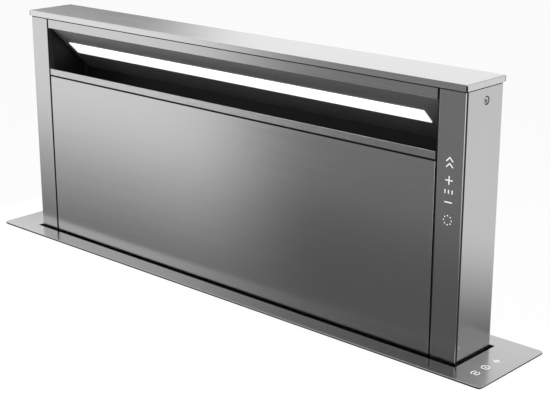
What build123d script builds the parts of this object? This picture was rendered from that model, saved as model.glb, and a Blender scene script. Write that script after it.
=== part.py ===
"""Pop-up downdraft vent for a worktop: deck, rising mast, lift, blower and under-counter housing.

Millimetres. The origin is the centre of the worktop cut-out, on the worktop's surface.
+X is to the cook's right, -Y faces the cook, +Z is up. The mast is modelled fully raised.
"""

import math
import os

from build123d import *

os.makedirs("parts", exist_ok=True)

# ---------------------------------------------------------------------------
# Driving sizes
# ---------------------------------------------------------------------------

# Worktop cut-out that the appliance drops into
cutout_width = 868.0
cutout_depth = 112.0
worktop_thickness = 30.0

# Deck plate and its gasket
deck_overlap_side = 15.0
deck_overlap_front = 13.0
deck_thickness = 2.0
deck_corner_radius = 6.0
deck_edge_chamfer = 0.4
gasket_thickness = 1.5
gasket_inset = 2.0
gasket_cutout_gap = 1.0

# Mast
rise = 338.0
lift_room = 36.5
mast_room = 14.0
cap_height = 8.0
cap_sheet = 1.5
cap_corner_notch = 1.6
cap_edge_radius = 0.8
cap_gap = 1.8
cap_overhang = 2.0
slot_gap_side = 2.0
slot_gap_front = 3.6
slot_corner_radius = 1.5
column_width = 36.5
column_edge_radius = 1.1
column_groove_offset = 1.3
column_groove_width = 2.8
column_groove_depth = 0.7
mast_tail = 133.5
skin = 1.2
joint_gap = 2.6
header_height = 12.6
header_lip = 4.0
intake_height = 61.3
lip_height = 9.1
lip_return = 13.0
lip_rear_height = 5.0
neck_inset = 3.0

# Sloping plate and light in the intake
canopy_drop = 33.0
canopy_front_gap = 0.3
canopy_rear_gap = 0.3
canopy_tab_height = 74.0
light_length = 655.0
light_width = 24.0
light_centre_x = -13.5
light_centre_y = 0.0
light_stand_off = 0.8
diffuser_thickness = 2.0
light_channel_depth = 9.0
light_channel_wall = 1.2
light_slot_clearance = 0.3

# Side screws of the mast
side_screw_y = 3.0
side_screw_drop = 14.9
side_screw_head_radius = 4.4
side_screw_rim_gap = 0.5
side_screw_socket_radius = 1.7
side_screw_shank_radius = 2.0
side_screw_length = 40.0
screw_clearance = 0.1

# Front panel
panel_flange = 9.0
panel_return = 8.0
panel_deck_gap = 1.2
magnet_size = 12.0
magnet_height = 24.0
magnet_gap = 0.3

# Grease filters and tray
filter_count = 3
filter_foot_rise = 41.7
filter_thickness = 9.0
filter_border = 10.0
filter_gap = 2.0
filter_end_gap = 4.0
filter_mesh_thickness = 4.0
filter_top_drop = 13.0
filter_rear_gap = 5.5
filter_front_inset = 11.0
filter_pull_size = 14.0
tray_height = 8.0
tray_depth = 26.0
filter_hook_height = 6.0
filter_seat_gap = 0.3

# Touch symbols
symbol_relief = 0.15
symbol_width = 11.0
symbol_stroke = 1.3
column_symbol_size = 13.0
column_symbol_inset = 18.8
chevron_height = 245.2
plus_height = 224.0
level_height = 210.4
minus_height = 197.8
lamp_height = 176.2
deck_symbol_gap = 26.5
deck_symbol_front = -38.6
deck_symbol_middle = -17.4
deck_symbol_rear = 6.0
board_thickness = 1.6
board_width = 18.0
board_margin = 14.0
board_slot_gap = 17.5
board_gasket_gap = 8.0

# Housing under the worktop
housing_gap_side = 4.0
housing_gap_front = 3.0
housing_bottom = -715.0
housing_top = -3.0
sheet = 1.2
flange = 14.0
collar_drop = 20.0
collar_leg = 8.0
collar_end_gap = 18.0
collar_seat_gap = 0.3
seal_root = 4.6
seal_root_top = -4.0
seal_root_bottom = -12.0
seal_lip_top = -7.5
seal_lip_thickness = 2.0
seal_gap = 0.4

# Fasteners in the housing
screw_radius = 2.0
screw_head_radius = 4.0
screw_head_height = 2.4
screw_length = 8.0
edge_screw_inset = 8.0
edge_screw_top = -60.0
edge_screw_middle = -350.0
edge_screw_bottom = -640.0
row_screw_spacing = 350.0
collar_screw_z = -15.0
floor_screw_rise = 8.0

# Lift
rail_depth = 12.0
rail_width = 24.0
rail_wall = 2.0
rail_top = -24.0
rail_run_out = 30.0
shoe_clearance = 0.35
shoe_height = 30.0
upper_shoe_z = -45.0
lower_shoe_z = -112.0
shoe_start = 20.5
carriage_thickness = 3.0
carriage_arm = 18.0
carriage_arm_height = 12.0
carriage_front = 22.0
carriage_rear = 24.0
carriage_top = -28.0
carriage_bottom = -128.0
lift_axis_y = 26.0
shaft_z = -680.0
idler_z = -45.0
shaft_radius = 5.0
shaft_end_gap = 1.3
running_gap = 0.05
belt_inner_radius = 12.0
belt_thickness = 1.5
belt_width = 9.0
belt_offset = 11.0
pulley_tip_gap = 0.4
pulley_teeth = 20
pulley_tooth_depth = 1.2
pulley_flange_radius = 14.0
pulley_flange_thickness = 1.2
pulley_side_gap = 0.3
clamp_gap = 0.3
clamp_z = -78.0
clamp_height = 30.0
clamp_plate = 5.0
clamp_web = 2.4
bearing_width = 11.0
bearing_size = 24.0
idler_axle_radius = 3.0
idler_bracket_width = 14.0
idler_bracket_depth = 20.0
idler_bracket_height = 30.0
idler_head_radius = 5.0
idler_head_thickness = 1.0

# Worm gearbox and lift motor
gearbox_x = 275.0
gearbox_width = 50.0
gearbox_depth = 60.0
gearbox_height = 54.0
gearbox_foot_overhang = 10.0
gearbox_centre_y = 14.0
lift_motor_radius = 21.0
lift_motor_length = 88.0
lift_motor_y = 6.0
lift_motor_cap_radius = 18.0
lift_motor_cap_height = 10.0

# Blower
blower_z = -570.0
blower_depth = 130.0
scroll_step = 16.0
scroll_first_radius = 92.0
scroll_cutoff_angle = 130.0
scroll_outlet_reach = 160.0
plate_margin = 12.0
front_plate_margin = 6.0
inlet_radius = 80.0
throat_radius = 62.0
inlet_wall = 1.5
inlet_flange_width = 10.0
inlet_reach = 20.0
impeller_radius = 84.0
impeller_eye_radius = 70.0
impeller_width = 98.0
impeller_wall_gap = 7.0
impeller_disc = 1.5
impeller_hub_radius = 12.0
impeller_hub_length = 22.0
blade_count = 36
blade_thickness = 1.0
blade_sweep = 9.0
blade_bow = 2.4
motor_shaft_radius = 4.0
motor_radius = 45.0
motor_length = 56.0
motor_flange_radius = 60.0
motor_flange_thickness = 3.0
motor_screw_radius = 53.0
motor_rib_count = 7
motor_rib_depth = 3.0
motor_cap_radius = 34.0
motor_cap_height = 8.0
motor_hole_radius = 20.0

# Outlet collar, duct spigot and backdraft flaps
spigot_radius = 74.5
spigot_length = 75.0
spigot_centre_y = -130.0
spigot_centre_z = -470.0
collar_length = 55.0
outlet_flange = 8.0
flap_pin_radius = 1.5
flap_pin_set_back = 7.0
flap_pin_offset = 5.0
flap_pin_end_gap = 0.5
flap_thickness = 1.5
flap_edge_gap = 2.0
flap_root_gap = 1.0
flap_barrel_radius = 3.2
flap_barrel_length = 24.0
flap_barrel_spread = 38.0

# Control box
box_left = 180.0
box_width = 220.0
box_bottom = -330.0
box_height = 140.0
box_depth = 46.0
box_wall = 1.5
box_corner_radius = 6.0
power_board_margin = 10.0
power_board_stand_off = 5.0
transformer_size = 40.0
transformer_depth = 23.0
capacitor_count = 3
capacitor_width = 16.0
capacitor_height = 24.0
capacitor_depth = 15.0
capacitor_pitch = 24.0
gland_radius = 8.0
gland_bore_radius = 4.5
gland_inset = 40.0
gland_nut_radius = 11.0
gland_nut_height = 6.0
gland_dome_length = 16.0
gland_inner_length = 8.0

# Clamps and floor brackets
clamp_spacing = 300.0
clamp_bracket_width = 30.0
clamp_bracket_top = -60.0
clamp_bracket_drop = 50.0
clamp_bracket_reach = 32.0
bracket_sheet = 2.0
clamp_screw_reach = 19.0
clamp_screw_radius = 3.0
clamp_screw_length = 58.0
clamp_screw_head_radius = 6.0
clamp_screw_head_height = 4.0
clamp_pad_radius = 7.0
clamp_pad_height = 4.0
floor_bracket_spacing = 400.0
floor_bracket_width = 30.0
floor_bracket_height = 60.0
floor_bracket_reach = 42.0
floor_hole_radius = 3.3
floor_hole_reach = 22.0
bracket_screw_spacing = 26.0

# ---------------------------------------------------------------------------
# Sizes worked out from the driving ones
# ---------------------------------------------------------------------------

deck_width = cutout_width + 2 * deck_overlap_side
deck_depth = cutout_depth + 2 * deck_overlap_front
housing_width = cutout_width - 2 * housing_gap_side
housing_depth = cutout_depth - 2 * housing_gap_front
cap_width = housing_width - 2 * lift_room
cap_depth = housing_depth - 2 * mast_room

deck_bottom = gasket_thickness
deck_top = deck_bottom + deck_thickness
slot_width = cap_width + 2 * slot_gap_side
slot_depth = cap_depth + 2 * slot_gap_front

cap_top = deck_top + rise
cap_bottom = cap_top - cap_height
body_top = cap_bottom - cap_gap
header_bottom = body_top - header_height
lip_top = header_bottom - intake_height
lip_bottom = lip_top - lip_height
panel_top = lip_bottom - joint_gap
panel_bottom = deck_top + panel_deck_gap
mast_bottom = deck_top - mast_tail

body_side = cap_width / 2 - cap_overhang
body_face = cap_depth / 2 - cap_overhang
column_inner = body_side - column_width
panel_side = column_inner - joint_gap
inner_face = body_face - skin

housing_side = housing_width / 2
housing_face = housing_depth / 2
inner_side = housing_side - sheet
inner_wall = housing_face - sheet
floor_top = housing_bottom + sheet
floor_screw_z = housing_bottom + floor_screw_rise

symbol_x = body_side - column_symbol_inset
deck_symbol_x = slot_width / 2 + deck_symbol_gap

slope = math.radians(45.0)
slope_at_centre = header_bottom - canopy_drop


def slope_height(y):
    """Height of the sloping plate's visible face at a distance from the mast's centre."""
    return slope_at_centre - y * math.tan(slope)


slope_plane = Plane(
    origin=(0, light_centre_y, slope_height(light_centre_y)),
    x_dir=(1, 0, 0),
    z_dir=(0, -math.sin(slope), -math.cos(slope)),
)


def span(side, near, far):
    """Limits along X on one side of the centre, in rising order."""
    return tuple(sorted((side * near, side * far)))


def block(x, y, z, mode=Mode.ADD):
    """Add a box to the part being built, from its low and high limit along each axis."""
    limits = (x, y, z)
    with Locations(tuple((low + high) / 2 for low, high in limits)):
        Box(*(high - low for low, high in limits), mode=mode)


def rod(axis, centre, radius, start, end, mode=Mode.ADD):
    """Add a cylinder along X, Y or Z. The centre gives the two other coordinates."""
    middle = (start + end) / 2
    places = {
        "X": ((middle, centre[0], centre[1]), (0, 90, 0)),
        "Y": ((centre[0], middle, centre[1]), (90, 0, 0)),
        "Z": ((centre[0], centre[1], middle), (0, 0, 0)),
    }
    place, turn = places[axis]
    with Locations(place):
        Cylinder(radius, end - start, rotation=turn, mode=mode)


def save(builder, name):
    """Label a finished piece and write it to its own file."""
    builder.part.label = name
    export_step(builder.part, f"parts/{name}.step")


# ---------------------------------------------------------------------------
# Deck: plate, gasket, symbols and touch board
# ---------------------------------------------------------------------------

with BuildPart() as deck_plate:
    with BuildSketch(Plane.XY.offset(deck_bottom)):
        RectangleRounded(deck_width, deck_depth, deck_corner_radius)
        RectangleRounded(slot_width, slot_depth, slot_corner_radius, mode=Mode.SUBTRACT)
    extrude(amount=deck_thickness)
    top_face = deck_plate.faces().sort_by(Axis.Z)[-1]
    chamfer(top_face.outer_wire().edges(), length=deck_edge_chamfer)
save(deck_plate, "deck_plate")

gasket_inner_x = cutout_width / 2 + gasket_cutout_gap
gasket_inner_y = cutout_depth / 2 + gasket_cutout_gap

with BuildPart() as deck_gasket:
    with BuildSketch():
        RectangleRounded(
            deck_width - 2 * gasket_inset,
            deck_depth - 2 * gasket_inset,
            deck_corner_radius - gasket_inset,
        )
        Rectangle(2 * gasket_inner_x, 2 * gasket_inner_y, mode=Mode.SUBTRACT)
    extrude(amount=gasket_thickness)
save(deck_gasket, "deck_gasket")


def ring_symbol(radius):
    """Draw a ring of the symbols' stroke width."""
    Circle(radius)
    Circle(radius - symbol_stroke, mode=Mode.SUBTRACT)


with BuildPart() as deck_touch_keys:
    with BuildSketch(Plane.XY.offset(deck_top)):
        with Locations((deck_symbol_x, deck_symbol_front)):
            ring_symbol(symbol_width / 2)
            Rectangle(symbol_stroke * 3, symbol_width, mode=Mode.SUBTRACT)
            Rectangle(symbol_stroke, symbol_width * 0.7)
        with Locations((deck_symbol_x, deck_symbol_middle)):
            ring_symbol(symbol_width / 2)
            Circle(symbol_stroke)
        with Locations((deck_symbol_x, deck_symbol_rear)):
            Rectangle(symbol_width, symbol_stroke)
        with Locations((deck_symbol_x, deck_symbol_rear + symbol_stroke * 2)):
            Triangle(a=symbol_width * 0.6, B=40, C=40)
        with Locations((deck_symbol_x, deck_symbol_rear - symbol_stroke * 2)):
            Triangle(a=symbol_width * 0.6, B=40, C=40, rotation=180)
    extrude(amount=symbol_relief)
save(deck_touch_keys, "deck_touch_keys")

with BuildPart() as deck_touch_board:
    block(
        (slot_width / 2 + board_slot_gap, gasket_inner_x - board_gasket_gap),
        (deck_symbol_front - board_margin / 2, deck_symbol_rear + board_margin),
        (deck_bottom - board_thickness, deck_bottom),
    )
save(deck_touch_board, "deck_touch_board")

# ---------------------------------------------------------------------------
# Collar under the deck and wiper seal round the mast
# ---------------------------------------------------------------------------

collar_top = deck_bottom
collar_bottom = deck_top - deck_thickness - gasket_thickness - collar_drop
collar_end = inner_side - collar_end_gap
row_screw_places = (-row_screw_spacing, 0.0, row_screw_spacing)

with BuildPart() as deck_collar:
    for side in (-1, 1):
        leg = span(side, inner_wall - sheet, inner_wall)
        block((-collar_end, collar_end), leg, (collar_bottom, collar_top))
        foot = span(side, inner_wall - collar_leg, inner_wall)
        block((-collar_end, collar_end), foot, (collar_top - sheet, collar_top))
        for x in row_screw_places:
            hole = sorted((side * (inner_wall - 2 * sheet), side * (inner_wall + sheet)))
            rod("Y", (x, collar_screw_z), screw_radius + screw_clearance, *hole, mode=Mode.SUBTRACT)
        end = span(side, inner_side - sheet, inner_side)
        reach = inner_wall - flange
        block(end, (-reach, reach), (collar_bottom, housing_top))
save(deck_collar, "deck_collar")

with BuildPart() as slot_seal:
    seal_outer_x = inner_side - sheet
    seal_outer_y = inner_wall - sheet
    lip_x = body_side + seal_gap
    lip_y = body_face + seal_gap
    lip_z = (seal_lip_top - seal_lip_thickness, seal_lip_top)
    root_z = (seal_root_bottom, seal_root_top)
    side_root = inner_wall - flange
    for side in (-1, 1):
        block(
            (-collar_end, collar_end),
            span(side, seal_outer_y - seal_root, seal_outer_y),
            root_z,
        )
        block((-collar_end, collar_end), span(side, lip_y, seal_outer_y - seal_root), lip_z)
    for side in (-1, 1):
        block(span(side, seal_outer_x - seal_root, seal_outer_x), (-side_root, side_root), root_z)
        block(
            span(side, lip_x, seal_outer_x - seal_root),
            (-lip_y + seal_gap, lip_y - seal_gap),
            lip_z,
        )
save(slot_seal, "slot_seal")

# ---------------------------------------------------------------------------
# Housing: front, rear, sides and floor, with their screws
# ---------------------------------------------------------------------------

edge_screw_x = housing_side - edge_screw_inset
edge_levels = (edge_screw_top, edge_screw_middle, edge_screw_bottom)
wall_screws = [(side * edge_screw_x, z) for side in (-1, 1) for z in edge_levels]
wall_screws += [(x, z) for z in (collar_screw_z, floor_screw_z) for x in row_screw_places]
wall_height = housing_top - housing_bottom
wall_middle = (housing_top + housing_bottom) / 2


def screw_holes(places, start, end):
    """Cut clearance holes along Y at the given places."""
    for x, z in places:
        rod("Y", (x, z), screw_radius + screw_clearance, start, end, mode=Mode.SUBTRACT)


# Depths of the blower, from the front wall forwards
blower_rear = -housing_face
scroll_rear = blower_rear - sheet
scroll_front = blower_rear - blower_depth
front_plate_face = scroll_front - sheet
motor_rear = front_plate_face

# Places on the front wall that carry the blower, the brackets and the clamps
scroll_half = scroll_step / 2
scroll_left = scroll_first_radius + scroll_half
scroll_low = scroll_first_radius + scroll_step + scroll_half
scroll_right = scroll_first_radius + 2 * scroll_step + scroll_half
scroll_high = scroll_first_radius + 3 * scroll_step + scroll_half
plate_left = -scroll_outlet_reach
plate_right = scroll_right + 2 * plate_margin
plate_low = blower_z - scroll_low - 1.2 * plate_margin
plate_high = blower_z + scroll_high + 2 * plate_margin
plate_screws = [
    (x, z)
    for x in (plate_left + plate_margin / 2, plate_right - plate_margin / 2)
    for z in (plate_low + plate_margin / 2, plate_high - plate_margin / 2)
]
motor_screws = [
    (motor_screw_radius * math.cos(angle), blower_z + motor_screw_radius * math.sin(angle))
    for angle in (math.radians(45 + 90 * quarter) for quarter in range(4))
]
bracket_screws = [
    (side * floor_bracket_spacing, housing_bottom + floor_bracket_height / 2 + step)
    for side in (-1, 1)
    for step in (-bracket_screw_spacing / 2 + 4, bracket_screw_spacing / 2 + 4)
]
box_screws = [
    (box_left + inset, box_bottom + box_height / 2) for inset in (box_width * 0.06, box_width * 0.94)
]
clamp_bracket_screws = [
    (side * clamp_spacing, clamp_bracket_top - clamp_bracket_drop + rise_up)
    for side in (-1, 1)
    for rise_up in (clamp_bracket_drop * 0.25, clamp_bracket_drop * 0.6)
]

with BuildPart() as housing_front:
    block((-housing_side, housing_side), (-housing_face, -inner_wall), (housing_bottom, housing_top))
    rod("Y", (0, blower_z), inlet_radius, -housing_face - sheet, -inner_wall + sheet, Mode.SUBTRACT)
    front_holes = wall_screws + plate_screws + bracket_screws + box_screws + clamp_bracket_screws
    screw_holes(front_holes, -housing_face - sheet, -inner_wall + sheet)
save(housing_front, "housing_front")

with BuildPart() as housing_rear:
    block((-housing_side, housing_side), (inner_wall, housing_face), (housing_bottom, housing_top))
    screw_holes(wall_screws + clamp_bracket_screws, inner_wall - sheet, housing_face + sheet)
save(housing_rear, "housing_rear")


def housing_side_panel(side):
    """One side wall with flanges that the front and rear walls are screwed to."""
    with BuildPart() as panel:
        block(
            span(side, inner_side, housing_side),
            (-inner_wall, inner_wall),
            (housing_bottom, housing_top),
        )
        for face in (-1, 1):
            block(
                span(side, inner_side - flange, inner_side),
                span(face, inner_wall - sheet, inner_wall),
                (floor_top + flange + sheet, housing_top),
            )
        places = [(side * edge_screw_x, z) for z in edge_levels]
        screw_holes(places, -inner_wall - sheet, inner_wall + sheet)
    return panel


save(housing_side_panel(-1), "housing_left_side")
save(housing_side_panel(1), "housing_right_side")

with BuildPart() as housing_floor:
    block((-inner_side, inner_side), (-inner_wall, inner_wall), (housing_bottom, floor_top))
    for side in (-1, 1):
        block(
            (-collar_end, collar_end),
            span(side, inner_wall - sheet, inner_wall),
            (floor_top, floor_top + flange),
        )
        block(
            span(side, inner_side - sheet, inner_side),
            (-inner_wall + flange, inner_wall - flange),
            (floor_top, floor_top + flange),
        )
    floor_places = [(x, floor_screw_z) for x in row_screw_places]
    screw_holes(floor_places, -inner_wall - sheet, inner_wall + sheet)
save(housing_floor, "housing_floor")


def pan_screw(x, z, seat, side, length=screw_length):
    """A pan-head screw along Y: its head rests on the seat and its shank runs inwards."""
    rod("Y", (x, z), screw_radius, *span(side, seat - length, seat))
    rod("Y", (x, z), screw_head_radius, *span(side, seat, seat + screw_head_height))


with BuildPart() as case_screws:
    for x, z in wall_screws:
        for side in (-1, 1):
            pan_screw(x, z, housing_face, side)
    for x, z in bracket_screws:
        pan_screw(x, z, housing_face + bracket_sheet, -1)
    for x, z in clamp_bracket_screws:
        for side in (-1, 1):
            pan_screw(x, z, housing_face + bracket_sheet, side)
    for x, z in plate_screws:
        pan_screw(x, z, housing_face + sheet, -1)
    for x, z in motor_screws:
        pan_screw(x, z, -motor_rear + motor_flange_thickness, -1)
save(case_screws, "case_screws")

# ---------------------------------------------------------------------------
# Worktop clamps and floor brackets
# ---------------------------------------------------------------------------

clamp_screw_y = housing_face + clamp_screw_reach

with BuildPart() as worktop_clamps:
    for side in (-1, 1):
        for x in (-clamp_spacing, clamp_spacing):
            width = (x - clamp_bracket_width / 2, x + clamp_bracket_width / 2)
            block(
                width,
                span(side, housing_face, housing_face + bracket_sheet),
                (clamp_bracket_top - clamp_bracket_drop, clamp_bracket_top),
            )
            block(
                width,
                span(side, housing_face, housing_face + clamp_bracket_reach),
                (clamp_bracket_top - bracket_sheet, clamp_bracket_top),
            )
            rod(
                "Z",
                (x, side * clamp_screw_y),
                clamp_screw_radius + screw_clearance,
                clamp_bracket_top - 2 * bracket_sheet,
                clamp_bracket_top + bracket_sheet,
                mode=Mode.SUBTRACT,
            )
        start, end = span(side, housing_face - sheet, housing_face + 2 * bracket_sheet)
        screw_holes(clamp_bracket_screws, start, end)
save(worktop_clamps, "worktop_clamps")

with BuildPart() as clamp_screws:
    pad_top = -worktop_thickness
    tip = pad_top - clamp_pad_height
    tail = pad_top - clamp_screw_length
    for side in (-1, 1):
        for x in (-clamp_spacing, clamp_spacing):
            place = (x, side * clamp_screw_y)
            rod("Z", place, clamp_screw_radius, tail, tip)
            rod("Z", place, clamp_pad_radius, tip, pad_top)
            rod("Z", place, clamp_screw_head_radius, tail - clamp_screw_head_height, tail)
save(clamp_screws, "clamp_screws")

with BuildPart() as floor_brackets:
    for side in (-1, 1):
        middle = side * floor_bracket_spacing
        width = (middle - floor_bracket_width / 2, middle + floor_bracket_width / 2)
        block(
            width,
            (-housing_face - bracket_sheet, -housing_face),
            (housing_bottom, housing_bottom + floor_bracket_height),
        )
        block(
            width,
            (-housing_face - floor_bracket_reach, -housing_face),
            (housing_bottom, housing_bottom + bracket_sheet),
        )
        rod(
            "Z",
            (middle, -housing_face - floor_hole_reach),
            floor_hole_radius,
            housing_bottom - bracket_sheet,
            housing_bottom + 2 * bracket_sheet,
            mode=Mode.SUBTRACT,
        )
    screw_holes(bracket_screws, -housing_face - 2 * bracket_sheet, -housing_face + sheet)
save(floor_brackets, "floor_brackets")

# ---------------------------------------------------------------------------
# Mast: cap, columns, header, lip, rear panel and base frame
# ---------------------------------------------------------------------------

with BuildPart() as cap_plate:
    block(
        (-cap_width / 2, cap_width / 2),
        (-cap_depth / 2, cap_depth / 2),
        (cap_bottom, cap_top),
    )
    top_edges = cap_plate.faces().sort_by(Axis.Z)[-1].edges()
    fillet(top_edges, radius=cap_edge_radius)
    block(
        (-cap_width / 2 + skin, cap_width / 2 - skin),
        (-cap_depth / 2 + skin, cap_depth / 2 - skin),
        (cap_bottom - skin, cap_top - cap_sheet),
        mode=Mode.SUBTRACT,
    )
    for side in (-1, 1):
        for face in (-1, 1):
            block(
                span(side, cap_width / 2 - cap_corner_notch, cap_width / 2 + skin),
                span(face, cap_depth / 2 - cap_corner_notch, cap_depth / 2 + skin),
                (cap_bottom - skin, cap_top - cap_sheet),
                mode=Mode.SUBTRACT,
            )
save(cap_plate, "cap_plate")

column_middle = (column_inner + body_side) / 2
side_screw_z = body_top - side_screw_drop


def column(side):
    """A closed sheet-metal column with a set-back neck that carries the cap."""
    with BuildPart() as tube:
        with BuildSketch(Plane.XY.offset(mast_bottom)):
            with Locations((side * column_middle, 0)):
                RectangleRounded(column_width, 2 * body_face, column_edge_radius)
                Rectangle(column_width - 2 * skin, 2 * inner_face, mode=Mode.SUBTRACT)
        extrude(amount=body_top - mast_bottom)
        groove_front = -body_face + column_groove_offset
        block(
            span(side, body_side - column_groove_depth, body_side + skin),
            (groove_front, groove_front + column_groove_width),
            (mast_bottom - skin, body_top + skin),
            mode=Mode.SUBTRACT,
        )
        block(
            span(side, column_inner + skin, body_side - skin),
            (-inner_face, inner_face),
            (body_top - skin, body_top),
        )
        block(
            span(side, column_inner + neck_inset, body_side - neck_inset),
            (-body_face + neck_inset, body_face - neck_inset),
            (body_top, cap_top - cap_sheet),
        )
        with Locations(Location((side * body_side, side_screw_y, side_screw_z), (0, side * 90, 0))):
            Cone(
                side_screw_shank_radius + side_screw_rim_gap,
                side_screw_head_radius + side_screw_rim_gap,
                skin,
                align=(Align.CENTER, Align.CENTER, Align.MAX),
                mode=Mode.SUBTRACT,
            )
        rod(
            "X",
            (side_screw_y, side_screw_z),
            side_screw_shank_radius + screw_clearance,
            *span(side, column_inner - skin, body_side - skin),
            mode=Mode.SUBTRACT,
        )
    return tube


save(column(-1), "left_column")
save(column(1), "right_column")

with BuildPart() as side_screws:
    for side in (-1, 1):
        with Locations(Location((side * body_side, side_screw_y, side_screw_z), (0, side * 90, 0))):
            Cone(
                side_screw_shank_radius,
                side_screw_head_radius,
                skin,
                align=(Align.CENTER, Align.CENTER, Align.MAX),
            )
        rod(
            "X",
            (side_screw_y, side_screw_z),
            side_screw_shank_radius,
            *span(side, body_side - side_screw_length, body_side - skin),
        )
        socket_low, socket_high = span(side, body_side - side_screw_head_radius, body_side)
        with BuildSketch(Plane.YZ.offset(socket_low)):
            with Locations((side_screw_y, side_screw_z)):
                RegularPolygon(side_screw_socket_radius, 6)
        extrude(amount=socket_high - socket_low, mode=Mode.SUBTRACT)
save(side_screws, "side_screws")

bridge_depth = 10.0


def column_bridge(y, z):
    """Add a tab at each end that reaches the columns across the visible joint."""
    for side in (-1, 1):
        block(span(side, panel_side, column_inner), y, z)


with BuildPart() as header_rail:
    width = (-panel_side, panel_side)
    block(width, (-body_face, -inner_face), (header_bottom, body_top))
    block(width, (-body_face, -body_face + header_lip), (header_bottom, header_bottom + skin))
    block(width, (-body_face, inner_face - canopy_rear_gap), (body_top - skin, body_top))
    bridge_start = -inner_face + header_lip
    column_bridge((bridge_start, bridge_start + bridge_depth), (body_top - skin, body_top))
save(header_rail, "header_rail")

with BuildPart() as intake_lip:
    width = (-panel_side, panel_side)
    block(width, (-body_face, -inner_face), (lip_bottom, lip_top))
    lip_rear = (-body_face + lip_return - skin, -body_face + lip_return)
    lip_rear_top = lip_bottom + lip_rear_height
    block(width, (-body_face, -body_face + lip_return), (lip_bottom, lip_bottom + skin))
    block(width, lip_rear, (lip_bottom, lip_rear_top))
    lip_edges = intake_lip.edges().filter_by(Axis.X).group_by(Axis.Z)[-1].sort_by(Axis.Y)
    fillet(lip_edges[0], radius=skin / 2)
    column_bridge((-body_face + bridge_depth, -body_face + lip_return), (lip_bottom, lip_rear_top))
save(intake_lip, "intake_lip")

# Grease filter geometry in the YZ plane: the top leans on the rear panel, the foot stands in the tray
filter_top_y = inner_face - filter_rear_gap - filter_thickness / 2
filter_top_z = lip_bottom - filter_top_drop
filter_foot_y = -inner_face + filter_front_inset + filter_thickness / 2
filter_run = filter_top_y - filter_foot_y
filter_foot_z = deck_top + filter_foot_rise
filter_length = math.hypot(filter_run, filter_top_z - filter_foot_z)
filter_lean = math.asin(filter_run / filter_length)
filter_centre_y = (filter_top_y + filter_foot_y) / 2
filter_centre_z = (filter_top_z + filter_foot_z) / 2
filter_pitch = (2 * (column_inner - filter_end_gap) + filter_gap) / filter_count
filter_width = filter_pitch - filter_gap
filter_places = [(index - (filter_count - 1) / 2) * filter_pitch for index in range(filter_count)]
filter_drop = filter_thickness / 2 * math.sin(filter_lean)


def filter_plane(x):
    """Plane through a filter's middle, its normal towards the front panel."""
    return Plane(
        origin=(x, filter_centre_y, filter_centre_z),
        x_dir=(1, 0, 0),
        z_dir=(0, -math.cos(filter_lean), math.sin(filter_lean)),
    )


with BuildPart() as rear_panel:
    block((-panel_side, panel_side), (inner_face, body_face), (mast_bottom, body_top))
    for z in (mast_bottom, body_top - bridge_depth):
        column_bridge((inner_face, body_face - skin / 2), (z, z + bridge_depth))
    hook_z = filter_top_z - 2 * filter_hook_height
    hook_y = filter_top_y + filter_thickness / 2 / math.cos(filter_lean)
    hook_y -= (filter_top_z - hook_z - filter_hook_height) * math.tan(filter_lean)
    block(
        (-panel_side, panel_side),
        (hook_y + filter_seat_gap, inner_face),
        (hook_z, hook_z + filter_hook_height),
    )
save(rear_panel, "rear_panel")

with BuildPart() as base_frame:
    block(
        (-panel_side, panel_side),
        (-body_face, -inner_face),
        (mast_bottom, panel_bottom - panel_deck_gap),
    )
    bar = 5.0
    frame_top = mast_bottom + 2 * flange
    for side in (-1, 1):
        block(
            span(side, column_inner - bar, column_inner),
            (-inner_face, inner_face),
            (mast_bottom, frame_top),
        )
        block(
            (-column_inner, column_inner),
            span(side, inner_face - bar, inner_face),
            (mast_bottom, frame_top),
        )
save(base_frame, "base_frame")

with BuildPart() as grease_tray:
    tray_front = -body_face + panel_flange + skin
    tray_bottom = filter_foot_z - filter_drop - filter_seat_gap - skin
    block(
        (-column_inner, column_inner),
        (tray_front, tray_front + tray_depth),
        (tray_bottom, tray_bottom + tray_height),
    )
    block(
        (-column_inner + skin, column_inner - skin),
        (tray_front + skin, tray_front + tray_depth - skin),
        (tray_bottom + skin, tray_bottom + 2 * tray_height),
        mode=Mode.SUBTRACT,
    )
save(grease_tray, "grease_tray")

# ---------------------------------------------------------------------------
# Intake: sloping plate, light channel and diffuser
# ---------------------------------------------------------------------------

slope_front_y = -body_face + header_lip + canopy_front_gap
slope_rear_y = inner_face - canopy_rear_gap - skin * math.sin(slope)
slope_up = (light_centre_y - slope_front_y) / math.cos(slope)
slope_down = (slope_rear_y - light_centre_y) / math.cos(slope)

with BuildPart() as light_canopy:
    with BuildSketch(slope_plane):
        with Locations((0, (slope_up - slope_down) / 2)):
            Rectangle(2 * panel_side, slope_up + slope_down)
        with Locations((light_centre_x, 0)):
            Rectangle(
                light_length + 2 * light_slot_clearance,
                light_width + 2 * light_slot_clearance,
                mode=Mode.SUBTRACT,
            )
    extrude(amount=-skin)
    tab_top = slope_height(slope_rear_y) + canopy_tab_height
    for side in (-1, 1):
        low, high = span(side, panel_side - skin, panel_side)
        with BuildSketch(Plane.YZ.offset(low)):
            with BuildLine():
                lift = skin / 2 / math.cos(slope)
                tab_front = slope_front_y + skin
                Polyline(
                    (tab_front, slope_height(tab_front) + lift),
                    (slope_rear_y, slope_height(slope_rear_y) + lift),
                    (slope_rear_y, tab_top),
                    (tab_front, tab_top),
                    close=True,
                )
            make_face()
        extrude(amount=high - low)
    rod(
        "X",
        (side_screw_y, side_screw_z),
        side_screw_shank_radius + screw_clearance,
        -column_inner,
        column_inner,
        mode=Mode.SUBTRACT,
    )
save(light_canopy, "light_canopy")

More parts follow.
